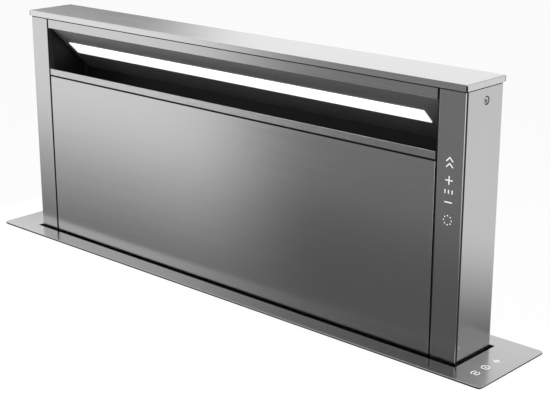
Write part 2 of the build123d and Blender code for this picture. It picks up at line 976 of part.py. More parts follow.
with BuildPart() as light_channel:
    channel_face = slope_plane.offset(light_stand_off - diffuser_thickness)
    with BuildSketch(channel_face):
        with Locations((light_centre_x, 0)):
            Rectangle(light_length, light_width)
    extrude(amount=-light_channel_depth)
    with BuildSketch(channel_face):
        with Locations((light_centre_x, 0)):
            Rectangle(light_length - 2 * light_channel_wall, light_width - 2 * light_channel_wall)
    extrude(amount=-light_channel_depth + light_channel_wall, mode=Mode.SUBTRACT)
    with BuildSketch(slope_plane.offset(-skin)):
        with Locations((light_centre_x, 0)):
            Rectangle(light_length + 8 * light_channel_wall, light_width + 8 * light_channel_wall)
            Rectangle(
                light_length - light_channel_wall,
                light_width - light_channel_wall,
                mode=Mode.SUBTRACT,
            )
    extrude(amount=-light_channel_wall)
save(light_channel, "light_channel")

with BuildPart() as light_diffuser:
    with BuildSketch(slope_plane.offset(light_stand_off - diffuser_thickness)):
        with Locations((light_centre_x, 0)):
            Rectangle(light_length, light_width)
    extrude(amount=diffuser_thickness)
    fillet(light_diffuser.faces().sort_by(Axis.Z)[0].edges(), radius=diffuser_thickness / 5)
save(light_diffuser, "light_diffuser")

# ---------------------------------------------------------------------------
# Grease filters
# ---------------------------------------------------------------------------

mesh_columns = 14
mesh_rows = 5

with BuildPart() as filter_frames:
    for x in filter_places:
        plane = filter_plane(x)
        with BuildSketch(plane.offset(-filter_thickness / 2)):
            Rectangle(filter_width, filter_length)
            Rectangle(
                filter_width - 2 * filter_border,
                filter_length - 2 * filter_border,
                mode=Mode.SUBTRACT,
            )
        extrude(amount=filter_thickness)
        with BuildSketch(plane.offset(filter_thickness / 2)):
            with Locations((0, filter_length / 2 - filter_border / 2)):
                SlotOverall(2 * filter_pull_size, filter_border * 0.8)
        extrude(amount=filter_pull_size / 5)
save(filter_frames, "filter_frames")

with BuildPart() as filter_meshes:
    opening_width = filter_width - 2 * filter_border
    opening_length = filter_length - 2 * filter_border
    cell_width = opening_width / mesh_columns
    cell_length = opening_length / mesh_rows
    for x in filter_places:
        with BuildSketch(filter_plane(x).offset(-filter_mesh_thickness / 2)):
            Rectangle(opening_width, opening_length)
            with GridLocations(cell_width, cell_length, mesh_columns, mesh_rows):
                Rectangle(cell_width * 0.7, cell_length * 0.86, mode=Mode.SUBTRACT)
        extrude(amount=filter_mesh_thickness)
save(filter_meshes, "filter_meshes")

# ---------------------------------------------------------------------------
# Column symbols and touch board
# ---------------------------------------------------------------------------

symbol_plane = Plane.XZ.offset(body_face)


def chevron(height):
    """Draw one upward chevron, centred on the symbol column."""
    half = column_symbol_size * 0.36
    left = (symbol_x - half, height - half / 2)
    right = (symbol_x + half, height - half / 2)
    with BuildLine() as stroke:
        Polyline(left, (symbol_x, height + half / 2), right)
    trace(stroke.line, line_width=symbol_stroke)


with BuildPart() as column_touch_keys:
    with BuildSketch(symbol_plane):
        for step in (-1, 1):
            chevron(deck_top + chevron_height + step * column_symbol_size * 0.27)
        with Locations((symbol_x, deck_top + plus_height)):
            Rectangle(column_symbol_size * 0.8, symbol_stroke)
            Rectangle(symbol_stroke, column_symbol_size * 0.8)
        for step in (-1, 0, 1):
            with Locations((symbol_x + step * column_symbol_size * 0.38, deck_top + level_height)):
                Rectangle(symbol_stroke, column_symbol_size * 0.36)
        with Locations((symbol_x, deck_top + minus_height)):
            Rectangle(column_symbol_size * 0.8, symbol_stroke)
        with Locations((symbol_x, deck_top + lamp_height)):
            with PolarLocations(column_symbol_size * 0.42, 8):
                Circle(symbol_stroke * 0.6)
    extrude(amount=symbol_relief)
save(column_touch_keys, "column_touch_keys")

with BuildPart() as column_touch_board:
    block(
        (symbol_x - board_width / 2, symbol_x + board_width / 2),
        (-inner_face, -inner_face + board_thickness),
        (deck_top + lamp_height - board_margin, deck_top + chevron_height + board_margin),
    )
save(column_touch_board, "column_touch_board")

# ---------------------------------------------------------------------------
# Front panel and the magnets that hold it
# ---------------------------------------------------------------------------

with BuildPart() as front_panel:
    panel_depth = (-body_face, -body_face + panel_flange)
    block((-panel_side, panel_side), panel_depth, (panel_bottom, panel_top))
    edges = front_panel.edges().filter_by(Axis.Z).group_by(Axis.Y)[0]
    fillet(edges, radius=column_edge_radius / 2)
    block(
        (-panel_side + skin, panel_side - skin),
        (-inner_face, -body_face + panel_flange - skin),
        (panel_bottom + skin, panel_top - skin),
        mode=Mode.SUBTRACT,
    )
    block(
        (-panel_side + panel_return, panel_side - panel_return),
        (-inner_face, -body_face + panel_flange + skin),
        (panel_bottom + skin, panel_top - skin),
        mode=Mode.SUBTRACT,
    )
save(front_panel, "front_panel")

with BuildPart() as panel_magnets:
    magnet_front = -body_face + panel_flange + magnet_gap
    for side in (-1, 1):
        for z in (panel_bottom + panel_return / 2, panel_top - 2 * magnet_height):
            block(
                span(side, column_inner - magnet_size, column_inner),
                (magnet_front, magnet_front + magnet_size / 2),
                (z, z + magnet_height),
            )
save(panel_magnets, "panel_magnets")

# ---------------------------------------------------------------------------
# Lift: rails, carriages, shoes, belts, pulleys, shaft, gearbox and motor
# ---------------------------------------------------------------------------

rail_face = inner_side - rail_depth
shoe_back = inner_side - rail_wall - shoe_clearance
shoe_half = rail_width / 2 - rail_wall - shoe_clearance
belt_near = body_side + carriage_thickness + belt_offset - belt_width / 2
belt_far = belt_near + belt_width
front_strand_y = lift_axis_y - belt_inner_radius
rail_bottom = lower_shoe_z - shoe_height / 2 - rise - rail_run_out

with BuildPart() as guide_rails:
    for side in (-1, 1):
        block(
            span(side, rail_face, inner_side),
            (-rail_width / 2, rail_width / 2),
            (rail_bottom, rail_top),
        )
        block(
            span(side, rail_face - rail_wall, inner_side - rail_wall),
            (-rail_width / 2 + rail_wall, rail_width / 2 - rail_wall),
            (rail_bottom - rail_wall, rail_top + rail_wall),
            mode=Mode.SUBTRACT,
        )
save(guide_rails, "guide_rails")

with BuildPart() as lift_carriages:
    clamp_z_span = (clamp_z - clamp_height / 2, clamp_z + clamp_height / 2)
    web_start = belt_far + pulley_side_gap + 2 * clamp_gap
    web_end = web_start + clamp_web
    plate_face = body_side + carriage_thickness
    for side in (-1, 1):
        block(
            span(side, body_side, plate_face),
            (-carriage_front, carriage_rear),
            (carriage_bottom, carriage_top),
        )
        for z in (upper_shoe_z, lower_shoe_z):
            block(
                span(side, plate_face, body_side + shoe_start),
                (-carriage_arm / 2, carriage_arm / 2),
                (z - carriage_arm_height / 2, z + carriage_arm_height / 2),
            )
        block(
            span(side, plate_face, web_end),
            (0, front_strand_y + clamp_gap + clamp_plate),
            clamp_z_span,
        )
        block(
            span(side, belt_near - clamp_gap, web_start),
            (front_strand_y - belt_thickness - clamp_gap, front_strand_y + clamp_gap),
            clamp_z_span,
            mode=Mode.SUBTRACT,
        )
save(lift_carriages, "lift_carriages")

with BuildPart() as guide_shoes:
    for side in (-1, 1):
        for z in (upper_shoe_z, lower_shoe_z):
            block(
                span(side, body_side + shoe_start, shoe_back),
                (-shoe_half, shoe_half),
                (z - shoe_height / 2, z + shoe_height / 2),
            )
save(guide_shoes, "guide_shoes")

with BuildPart() as lift_belts:
    belt_plane = Plane.YZ
    belt_length = idler_z - shaft_z + 2 * (belt_inner_radius + belt_thickness)
    for side in (-1, 1):
        low, high = span(side, belt_near, belt_far)
        with BuildSketch(Plane.YZ.offset(low)):
            with Locations((lift_axis_y, (idler_z + shaft_z) / 2)):
                SlotOverall(belt_length, 2 * (belt_inner_radius + belt_thickness), rotation=90)
                SlotOverall(
                    belt_length - 2 * belt_thickness,
                    2 * belt_inner_radius,
                    rotation=90,
                    mode=Mode.SUBTRACT,
                )
        extrude(amount=high - low)
save(lift_belts, "lift_belts")


def toothed_pulley(side, z, bore_radius):
    """A toothed belt pulley with side flanges, turning about an axis along X."""
    tip_radius = belt_inner_radius - pulley_tip_gap
    low, high = span(side, belt_near - pulley_side_gap, belt_far + pulley_side_gap)
    with BuildSketch(Plane.YZ.offset(low)) as profile:
        with Locations((lift_axis_y, z)):
            Circle(tip_radius)
            with PolarLocations(tip_radius, pulley_teeth):
                Rectangle(
                    2 * pulley_tooth_depth,
                    math.pi * tip_radius / pulley_teeth,
                    mode=Mode.SUBTRACT,
                )
    extrude(profile.sketch, amount=high - low)
    for start, end in (
        (low - pulley_flange_thickness, low),
        (high, high + pulley_flange_thickness),
    ):
        rod("X", (lift_axis_y, z), pulley_flange_radius, start, end)
    reach = pulley_flange_thickness + 1
    rod("X", (lift_axis_y, z), bore_radius, low - reach, high + reach, mode=Mode.SUBTRACT)


idler_bore = idler_axle_radius + running_gap

with BuildPart() as left_idler_pulley:
    toothed_pulley(-1, idler_z, idler_bore)
save(left_idler_pulley, "left_idler_pulley")

with BuildPart() as right_idler_pulley:
    toothed_pulley(1, idler_z, idler_bore)
save(right_idler_pulley, "right_idler_pulley")

with BuildPart() as drive_pulleys:
    for side in (-1, 1):
        toothed_pulley(side, shaft_z, shaft_radius)
save(drive_pulleys, "drive_pulleys")

with BuildPart() as cross_shaft:
    end = inner_side - shaft_end_gap
    rod("X", (lift_axis_y, shaft_z), shaft_radius, -end, end)
save(cross_shaft, "cross_shaft")

with BuildPart() as shaft_bearings:
    for side in (-1, 1):
        block(
            span(side, inner_side - bearing_width, inner_side),
            (lift_axis_y - bearing_size / 2 + 1, lift_axis_y + bearing_size / 2),
            (shaft_z - bearing_size / 2, shaft_z + bearing_size / 2),
        )
    reach = inner_side + sheet
    bore = shaft_radius + running_gap
    rod("X", (lift_axis_y, shaft_z), bore, -reach, reach, mode=Mode.SUBTRACT)
save(shaft_bearings, "shaft_bearings")

with BuildPart() as idler_brackets:
    outer_flange = belt_far + pulley_side_gap + pulley_flange_thickness
    inner_flange = belt_near - pulley_side_gap - pulley_flange_thickness
    head_face = inner_flange - clamp_gap
    for side in (-1, 1):
        block(
            span(side, inner_side - idler_bracket_width, inner_side),
            (lift_axis_y - idler_bracket_depth / 2, lift_axis_y + idler_bracket_depth / 2),
            (idler_z - idler_bracket_height / 2, idler_z + idler_bracket_height / 2),
        )
        place = (lift_axis_y, idler_z)
        rod("X", place, idler_axle_radius, *span(side, head_face, inner_side - sheet))
        rod("X", place, idler_head_radius, *span(side, head_face - idler_head_thickness, head_face))
        shoulder = span(side, outer_flange + clamp_gap, inner_side - sheet)
        rod("X", place, idler_head_radius, *shoulder)
save(idler_brackets, "idler_brackets")

gearbox_top = shaft_z + gearbox_height / 2

with BuildPart() as lift_gearbox:
    block(
        (gearbox_x - gearbox_width / 2, gearbox_x + gearbox_width / 2),
        (gearbox_centre_y - gearbox_depth / 2, gearbox_centre_y + gearbox_depth / 2),
        (floor_top, gearbox_top),
    )
    fillet(lift_gearbox.edges().filter_by(Axis.X).group_by(Axis.Z)[-1], radius=6)
    block(
        (
            gearbox_x - gearbox_width / 2 - gearbox_foot_overhang,
            gearbox_x + gearbox_width / 2 + gearbox_foot_overhang,
        ),
        (gearbox_centre_y - gearbox_depth / 2, gearbox_centre_y + gearbox_depth / 2),
        (floor_top, floor_top + 2 * bracket_sheet),
    )
    for x in (gearbox_x - gearbox_width / 2, gearbox_x + gearbox_width / 2):
        rod("X", (lift_axis_y, shaft_z), 2 * shaft_radius, x - 2, x + 2)
    rod(
        "X",
        (lift_axis_y, shaft_z),
        shaft_radius + running_gap,
        gearbox_x - gearbox_width,
        gearbox_x + gearbox_width,
        mode=Mode.SUBTRACT,
    )
save(lift_gearbox, "lift_gearbox")

with BuildPart() as lift_motor:
    place = (gearbox_x, lift_motor_y)
    motor_top = gearbox_top + lift_motor_length
    rod("Z", place, lift_motor_radius, gearbox_top, motor_top)
    fillet(lift_motor.faces().sort_by(Axis.Z)[-1].edges(), radius=2)
    rod("Z", place, lift_motor_cap_radius, motor_top, motor_top + lift_motor_cap_height)
    for groove in (0.12, 0.88):
        z = gearbox_top + lift_motor_length * groove
        with BuildSketch(Plane.XY.offset(z)):
            with Locations(place):
                Circle(lift_motor_radius + 1)
                Circle(lift_motor_radius - 1, mode=Mode.SUBTRACT)
        extrude(amount=2, mode=Mode.SUBTRACT)
save(lift_motor, "lift_motor")

# ---------------------------------------------------------------------------
# Blower: plates, scroll, inlet ring, impeller and motor
# ---------------------------------------------------------------------------

scroll_rear_plane = Plane.XZ.offset(-scroll_rear)


def spiral_quarter(centre, radius, start, sweep=90.0):
    """Draw a quarter of the scroll about one corner of its step square."""
    CenterArc((centre[0], blower_z + centre[1]), radius, start, sweep)


def scroll_outline(reach):
    """Draw the air space of the scroll: four growing arcs and a straight outlet to the left."""
    h = scroll_half
    first = scroll_first_radius
    cutoff = math.radians(scroll_cutoff_angle)
    cut_x = -h + first * math.cos(cutoff)
    cut_z = blower_z - h + first * math.sin(cutoff)
    top_z = blower_z + scroll_high
    with BuildLine() as outline:
        spiral_quarter((-h, -h), first, scroll_cutoff_angle, 180 - scroll_cutoff_angle)
        spiral_quarter((h, -h), first + scroll_step, 180)
        spiral_quarter((h, h), first + 2 * scroll_step, 270)
        spiral_quarter((-h, h), first + 3 * scroll_step, 0)
        Polyline((-h, top_z), (-reach, top_z), (-reach, cut_z), (cut_x, cut_z))
    make_face(outline.edges())


outlet_low = blower_z - scroll_half + scroll_first_radius * math.sin(
    math.radians(scroll_cutoff_angle)
)
outlet_high = blower_z + scroll_high

with BuildPart() as blower_scroll:
    with BuildSketch(scroll_rear_plane):
        scroll_outline(scroll_outlet_reach)
        offset(amount=sheet, kind=Kind.INTERSECTION)
    extrude(amount=blower_depth - sheet)
    with BuildSketch(scroll_rear_plane):
        scroll_outline(scroll_outlet_reach + 4 * sheet)
    extrude(amount=blower_depth - sheet, mode=Mode.SUBTRACT)
    split(bisect_by=Plane.YZ.offset(-scroll_outlet_reach), keep=Keep.TOP)
save(blower_scroll, "blower_scroll")

with BuildPart() as blower_back_plate:
    block((plate_left, plate_right), (scroll_rear, blower_rear), (plate_low, plate_high))
    fillet(blower_back_plate.edges().filter_by(Axis.Y), radius=plate_margin / 2)
    reach = sheet
    rod("Y", (0, blower_z), inlet_radius, scroll_rear - reach, blower_rear + reach, Mode.SUBTRACT)
    screw_holes(plate_screws, scroll_rear - reach, blower_rear + reach)
save(blower_back_plate, "blower_back_plate")

with BuildPart() as blower_front_plate:
    with BuildSketch(Plane.XZ.offset(-scroll_front)):
        scroll_outline(scroll_outlet_reach)
        offset(amount=front_plate_margin, kind=Kind.ARC)
    extrude(amount=sheet)
    split(bisect_by=Plane.YZ.offset(-scroll_outlet_reach), keep=Keep.TOP)
    cut = (front_plate_face - sheet, scroll_front + sheet)
    rod("Y", (0, blower_z), motor_hole_radius, *cut, mode=Mode.SUBTRACT)
    screw_holes(motor_screws, *cut)
save(blower_front_plate, "blower_front_plate")

with BuildPart() as inlet_ring:
    with BuildSketch(Plane.YZ):
        with BuildLine():
            bend = inlet_reach - inlet_wall
            seat = scroll_rear
            corner = throat_radius + bend
            Polyline(
                (seat, blower_z + corner),
                (seat, blower_z + corner + inlet_flange_width),
                (seat - inlet_wall, blower_z + corner + inlet_flange_width),
                (seat - inlet_wall, blower_z + corner),
            )
            CenterArc((seat - bend - inlet_wall, blower_z + corner), bend, 0, -90)
            Line(
                (seat - bend - inlet_wall, blower_z + throat_radius),
                (seat - bend - inlet_wall, blower_z + throat_radius - inlet_wall),
            )
            CenterArc((seat - bend - inlet_wall, blower_z + corner), bend + inlet_wall, 0, -90)
        make_face()
    ring_axis = Axis((0, 0, blower_z), (0, 1, 0))
    revolve(axis=ring_axis)
save(inlet_ring, "inlet_ring")

impeller_front = scroll_front + impeller_wall_gap
impeller_rear = impeller_front + impeller_width
impeller_plane = Plane.XZ.offset(-impeller_rear)

with BuildSketch() as blade:
    blade_root = (impeller_eye_radius + blade_thickness, 0)
    blade_tip = (impeller_radius - 2 * blade_thickness, blade_sweep)
    with BuildLine():
        SagittaArc(blade_root, blade_tip, blade_bow)
    trace(line_width=blade_thickness)

with BuildPart() as impeller:
    rod("Y", (0, blower_z), impeller_radius, impeller_front, impeller_front + impeller_disc)
    rod(
        "Y",
        (0, blower_z),
        impeller_hub_radius,
        impeller_front,
        impeller_front + impeller_hub_length,
    )
    with BuildSketch(impeller_plane):
        with Locations((0, blower_z)):
            with PolarLocations(0, blade_count):
                add(blade.sketch)
    extrude(amount=impeller_width)
    with BuildSketch(impeller_plane):
        with Locations((0, blower_z)):
            Circle(impeller_radius)
            Circle(impeller_eye_radius, mode=Mode.SUBTRACT)
    extrude(amount=2 * impeller_disc)
    rod(
        "Y",
        (0, blower_z),
        motor_shaft_radius,
        impeller_front - 1,
        impeller_front + impeller_hub_length + 1,
        mode=Mode.SUBTRACT,
    )
save(impeller, "impeller")

motor_front = motor_rear - motor_flange_thickness - motor_length

with BuildPart() as motor_shaft:
    rod(
        "Y",
        (0, blower_z),
        motor_shaft_radius,
        motor_front + motor_cap_height,
        impeller_front + impeller_hub_length,
    )
save(motor_shaft, "motor_shaft")

with BuildPart() as blower_motor:
    flange_front = motor_rear - motor_flange_thickness
    rod("Y", (0, blower_z), motor_flange_radius, flange_front, motor_rear)
    rod("Y", (0, blower_z), motor_radius, motor_front, flange_front)
    rib_pitch = motor_length / (motor_rib_count + 1)
    for index in range(motor_rib_count):
        groove = motor_front + (index + 0.75) * rib_pitch
        with BuildSketch(Plane.XZ.offset(-groove - rib_pitch / 2)):
            with Locations((0, blower_z)):
                Circle(motor_radius + 1)
                Circle(motor_radius - motor_rib_depth, mode=Mode.SUBTRACT)
        extrude(amount=rib_pitch / 2, mode=Mode.SUBTRACT)
    rod("Y", (0, blower_z), motor_cap_radius, motor_front - motor_cap_height, motor_front)
    shaft_bore = motor_shaft_radius + running_gap
    rod(
        "Y",
        (0, blower_z),
        shaft_bore,
        motor_front + motor_cap_height - 1,
        motor_rear + 1,
        mode=Mode.SUBTRACT,
    )
    screw_holes(motor_screws, flange_front - 1, motor_rear + 1)
save(blower_motor, "blower_motor")

# ---------------------------------------------------------------------------
# Outlet collar with the duct spigot, and the backdraft flaps
# ---------------------------------------------------------------------------

outlet_x = -scroll_outlet_reach
spigot_root_x = outlet_x - collar_length
spigot_mouth_x = spigot_root_x - spigot_length
outlet_middle_y = (scroll_rear + scroll_front) / 2
outlet_middle_z = (outlet_low + outlet_high) / 2
outlet_depth = scroll_rear - scroll_front
outlet_height = outlet_high - outlet_low
bore_radius = spigot_radius - sheet


def outlet_skin(inset, mode):
    """Loft from the scroll's rectangular outlet to the round spigot, and run on to its mouth."""
    with BuildSketch(Plane.YZ.offset(outlet_x)) as square_end:
        with Locations((outlet_middle_y, outlet_middle_z)):
            Rectangle(
                outlet_depth + 2 * sheet - 2 * inset,
                outlet_height + 2 * sheet - 2 * inset,
            )
    with BuildSketch(Plane.YZ.offset(spigot_root_x)) as round_end:
        with Locations((spigot_centre_y, spigot_centre_z)):
            Circle(spigot_radius - inset)
    loft([square_end.sketch, round_end.sketch], mode=mode)
    rod(
        "X",
        (spigot_centre_y, spigot_centre_z),
        spigot_radius - inset,
        spigot_mouth_x,
        spigot_root_x,
        mode=mode,
    )


flap_pin_x = spigot_root_x - flap_pin_set_back
flap_pin_places = [(flap_pin_x, spigot_centre_y + side * flap_pin_offset) for side in (-1, 1)]
pin_half = spigot_radius - flap_pin_end_gap

with BuildPart() as outlet_collar:
    outlet_skin(0, Mode.ADD)
    with BuildSketch(Plane.YZ.offset(outlet_x)):
        with Locations((outlet_middle_y, outlet_middle_z)):
            Rectangle(outlet_depth + 2 * sheet, outlet_height + 2 * sheet + 2 * outlet_flange)
    extrude(amount=-sheet)
    outlet_skin(sheet, Mode.SUBTRACT)
    for place in flap_pin_places:
        rod(
            "Z",
            place,
            flap_pin_radius + running_gap,
            spigot_centre_z - spigot_radius - 1,
            spigot_centre_z + spigot_radius + 1,
            mode=Mode.SUBTRACT,
        )
save(outlet_collar, "outlet_collar")

with BuildPart() as flap_pins:
    for place in flap_pin_places:
        rod(
            "Z",
            place,
            flap_pin_radius,
            spigot_centre_z - pin_half,
            spigot_centre_z + pin_half,
        )
save(flap_pins, "flap_pins")


def backdraft_flap(side):
    """Half a disc that turns on its own pin by two barrels. Side -1 is the front flap."""
    place = flap_pin_places[max(side, 0)]
    with BuildPart() as flap:
        with BuildSketch(Plane.YZ.offset(flap_pin_x - flap_thickness / 2)):
            with Locations((spigot_centre_y, spigot_centre_z)):
                Circle(bore_radius - flap_edge_gap)
                with Locations((-side * spigot_radius, 0)):
                    Rectangle(
                        2 * spigot_radius + 2 * flap_root_gap,
                        2 * spigot_radius,
                        mode=Mode.SUBTRACT,
                    )
        extrude(amount=flap_thickness)
        half = flap_barrel_length / 2
        for end in (-1, 1):
            barrel_z = spigot_centre_z + end * flap_barrel_spread
            rod("Z", place, flap_barrel_radius, barrel_z - half, barrel_z + half)
        rod(
            "Z",
            place,
            flap_pin_radius + running_gap,
            spigot_centre_z - spigot_radius,
            spigot_centre_z + spigot_radius,
            mode=Mode.SUBTRACT,
        )
    return flap


save(backdraft_flap(-1), "front_flap")
save(backdraft_flap(1), "rear_flap")

# ---------------------------------------------------------------------------
# Control box on the front wall
# ---------------------------------------------------------------------------

box_right = box_left + box_width
box_top = box_bottom + box_height
box_back = -housing_face
box_front = box_back - box_depth
gland_x = box_left + gland_inset
gland_y = (box_front + box_back) / 2

with BuildPart() as control_box:
    block((box_left, box_right), (box_front, box_back), (box_bottom, box_top))
    fillet(control_box.edges().filter_by(Axis.Y), radius=box_corner_radius)
    block(
        (box_left + box_wall, box_right - box_wall),
        (box_front - box_wall, box_back - box_wall),
        (box_bottom + box_wall, box_top - box_wall),
        mode=Mode.SUBTRACT,
    )
    rod(
        "Z",
        (gland_x, gland_y),
        gland_radius + running_gap,
        box_bottom - box_wall,
        box_bottom + 2 * box_wall,
        mode=Mode.SUBTRACT,
    )
    screw_holes(box_screws, box_back - 2 * box_wall, box_back + box_wall)
save(control_box, "control_box")

with BuildPart() as control_box_cover:
    block((box_left, box_right), (box_front - box_wall, box_front), (box_bottom, box_top))
    fillet(control_box_cover.edges().filter_by(Axis.Y), radius=box_corner_radius)
    rim = box_wall + 2 * clamp_gap
    block(
        (box_left + rim, box_right - rim),
        (box_front, box_front + 4 * box_wall),
        (box_bottom + rim, box_top - rim),
    )
    block(
        (box_left + rim + box_wall, box_right - rim - box_wall),
        (box_front, box_front + 5 * box_wall),
        (box_bottom + rim + box_wall, box_top - rim - box_wall),
        mode=Mode.SUBTRACT,
    )
save(control_box_cover, "control_box_cover")

with BuildPart() as power_board:
    board_back = box_back - box_wall - power_board_stand_off
    board_low = box_bottom + 3 * power_board_margin
    board_x = (box_left + 3 * power_board_margin, box_right - 3 * power_board_margin)
    board_high = box_top - power_board_margin
    block(board_x, (board_back - board_thickness, board_back), (board_low, board_high))
    for x in (board_x[0] + power_board_margin, board_x[1] - power_board_margin):
        for z in (board_low + power_board_margin, box_top - 2 * power_board_margin):
            rod("Y", (x, z), 2 * box_wall, board_back, box_back - box_wall)
    board_face = board_back - board_thickness
    left = board_x[0] + power_board_margin
    low = board_low + 2 * power_board_margin
    block(
        (left, left + transformer_size),
        (board_face - transformer_depth, board_face),
        (low, low + transformer_size),
    )
    for index in range(capacitor_count):
        right = board_x[1] - power_board_margin - index * capacitor_pitch
        block(
            (right - capacitor_width, right),
            (board_face - capacitor_depth, board_face),
            (low, low + capacitor_height),
        )
save(power_board, "power_board")

with BuildPart() as cable_gland:
    inside = box_bottom + box_wall
    nut_low = box_bottom - gland_nut_height
    rod("Z", (gland_x, gland_y), gland_radius, box_bottom, inside + gland_inner_length)
    for low, high in (
        (nut_low, box_bottom),
        (inside, inside + gland_nut_height),
    ):
        with BuildSketch(Plane.XY.offset(low)):
            with Locations((gland_x, gland_y)):
                RegularPolygon(gland_nut_radius, 6)
        extrude(amount=high - low)
    with Locations((gland_x, gland_y, nut_low)):
        Cone(
            gland_radius * 0.8,
            gland_nut_radius * 0.86,
            gland_dome_length,
            align=(Align.CENTER, Align.CENTER, Align.MAX),
        )
    rod(
        "Z",
        (gland_x, gland_y),
        gland_bore_radius,
        nut_low - gland_dome_length - 1,
        inside + gland_inner_length + 1,
        mode=Mode.SUBTRACT,
    )
save(cable_gland, "cable_gland")
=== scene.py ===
"""Dresses the packed downdraft vent: finishes, detailed small parts, studio, light and camera.

Lengths are in metres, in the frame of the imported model: +X to the cook's right, -Y towards the
cook, +Z up. The origin is the middle of the worktop cut-out, on the worktop's surface.
"""

from __future__ import annotations

import functools
import logging
import math
import operator
from dataclasses import dataclass
from enum import Enum
from typing import Any, Callable, Sequence

import bmesh
import bpy
from mathutils import Matrix, Vector


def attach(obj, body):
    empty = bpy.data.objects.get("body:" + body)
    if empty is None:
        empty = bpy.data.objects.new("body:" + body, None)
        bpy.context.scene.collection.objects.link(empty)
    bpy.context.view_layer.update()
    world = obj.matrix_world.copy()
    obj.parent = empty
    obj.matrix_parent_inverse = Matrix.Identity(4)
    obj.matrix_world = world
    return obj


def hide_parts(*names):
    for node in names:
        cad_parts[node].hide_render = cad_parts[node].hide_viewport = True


log = logging.getLogger("downdraft_vent")

Colour = tuple[float, float, float]
Pair = tuple[float, float]
Point = tuple[float, float, float]
Bar = tuple[Point, Point]

BLACK: Colour = (0.0, 0.0, 0.0)
WHITE: Colour = (1.0, 1.0, 1.0)

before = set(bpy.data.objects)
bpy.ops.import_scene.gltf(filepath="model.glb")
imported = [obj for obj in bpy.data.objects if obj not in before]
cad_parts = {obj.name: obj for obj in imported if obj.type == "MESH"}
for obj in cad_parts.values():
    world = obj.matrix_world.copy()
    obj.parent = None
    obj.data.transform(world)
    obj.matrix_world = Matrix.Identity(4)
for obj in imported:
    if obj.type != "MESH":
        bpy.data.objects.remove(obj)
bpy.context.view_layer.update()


# SHADER MATHS


def maths(operation: str, swapped: bool = False) -> Callable[..., Signal]:
    """Make an operator of signals out of a Math node.

    Args:
        operation: The Math node's operation.
        swapped: Whether the signal comes after the other value.

    Returns:
        The operator, as a method of Signal.
    """

    def method(signal: Signal, *others: Any) -> Signal:
        """Join a signal, and mostly another signal or a number, to a Math node."""
        values = enumerate((*others, signal) if swapped else (signal, *others))
        return signal.recipe.node("ShaderNodeMath", {"operation": operation}, dict(values))

    return method


class Signal:
    """A shader socket that takes part in arithmetic."""

    def __init__(self, recipe: Recipe, socket: bpy.types.NodeSocket) -> None:
        """Wrap an output socket of a recipe's tree."""
        self.recipe = recipe
        self.socket = socket

    __add__ = __radd__ = maths("ADD")
    __sub__ = maths("SUBTRACT")
    __rsub__ = maths("SUBTRACT", swapped=True)
    __mul__ = __rmul__ = maths("MULTIPLY")
    __truediv__ = maths("DIVIDE")
    __abs__ = maths("ABSOLUTE")
    __lt__ = maths("LESS_THAN")


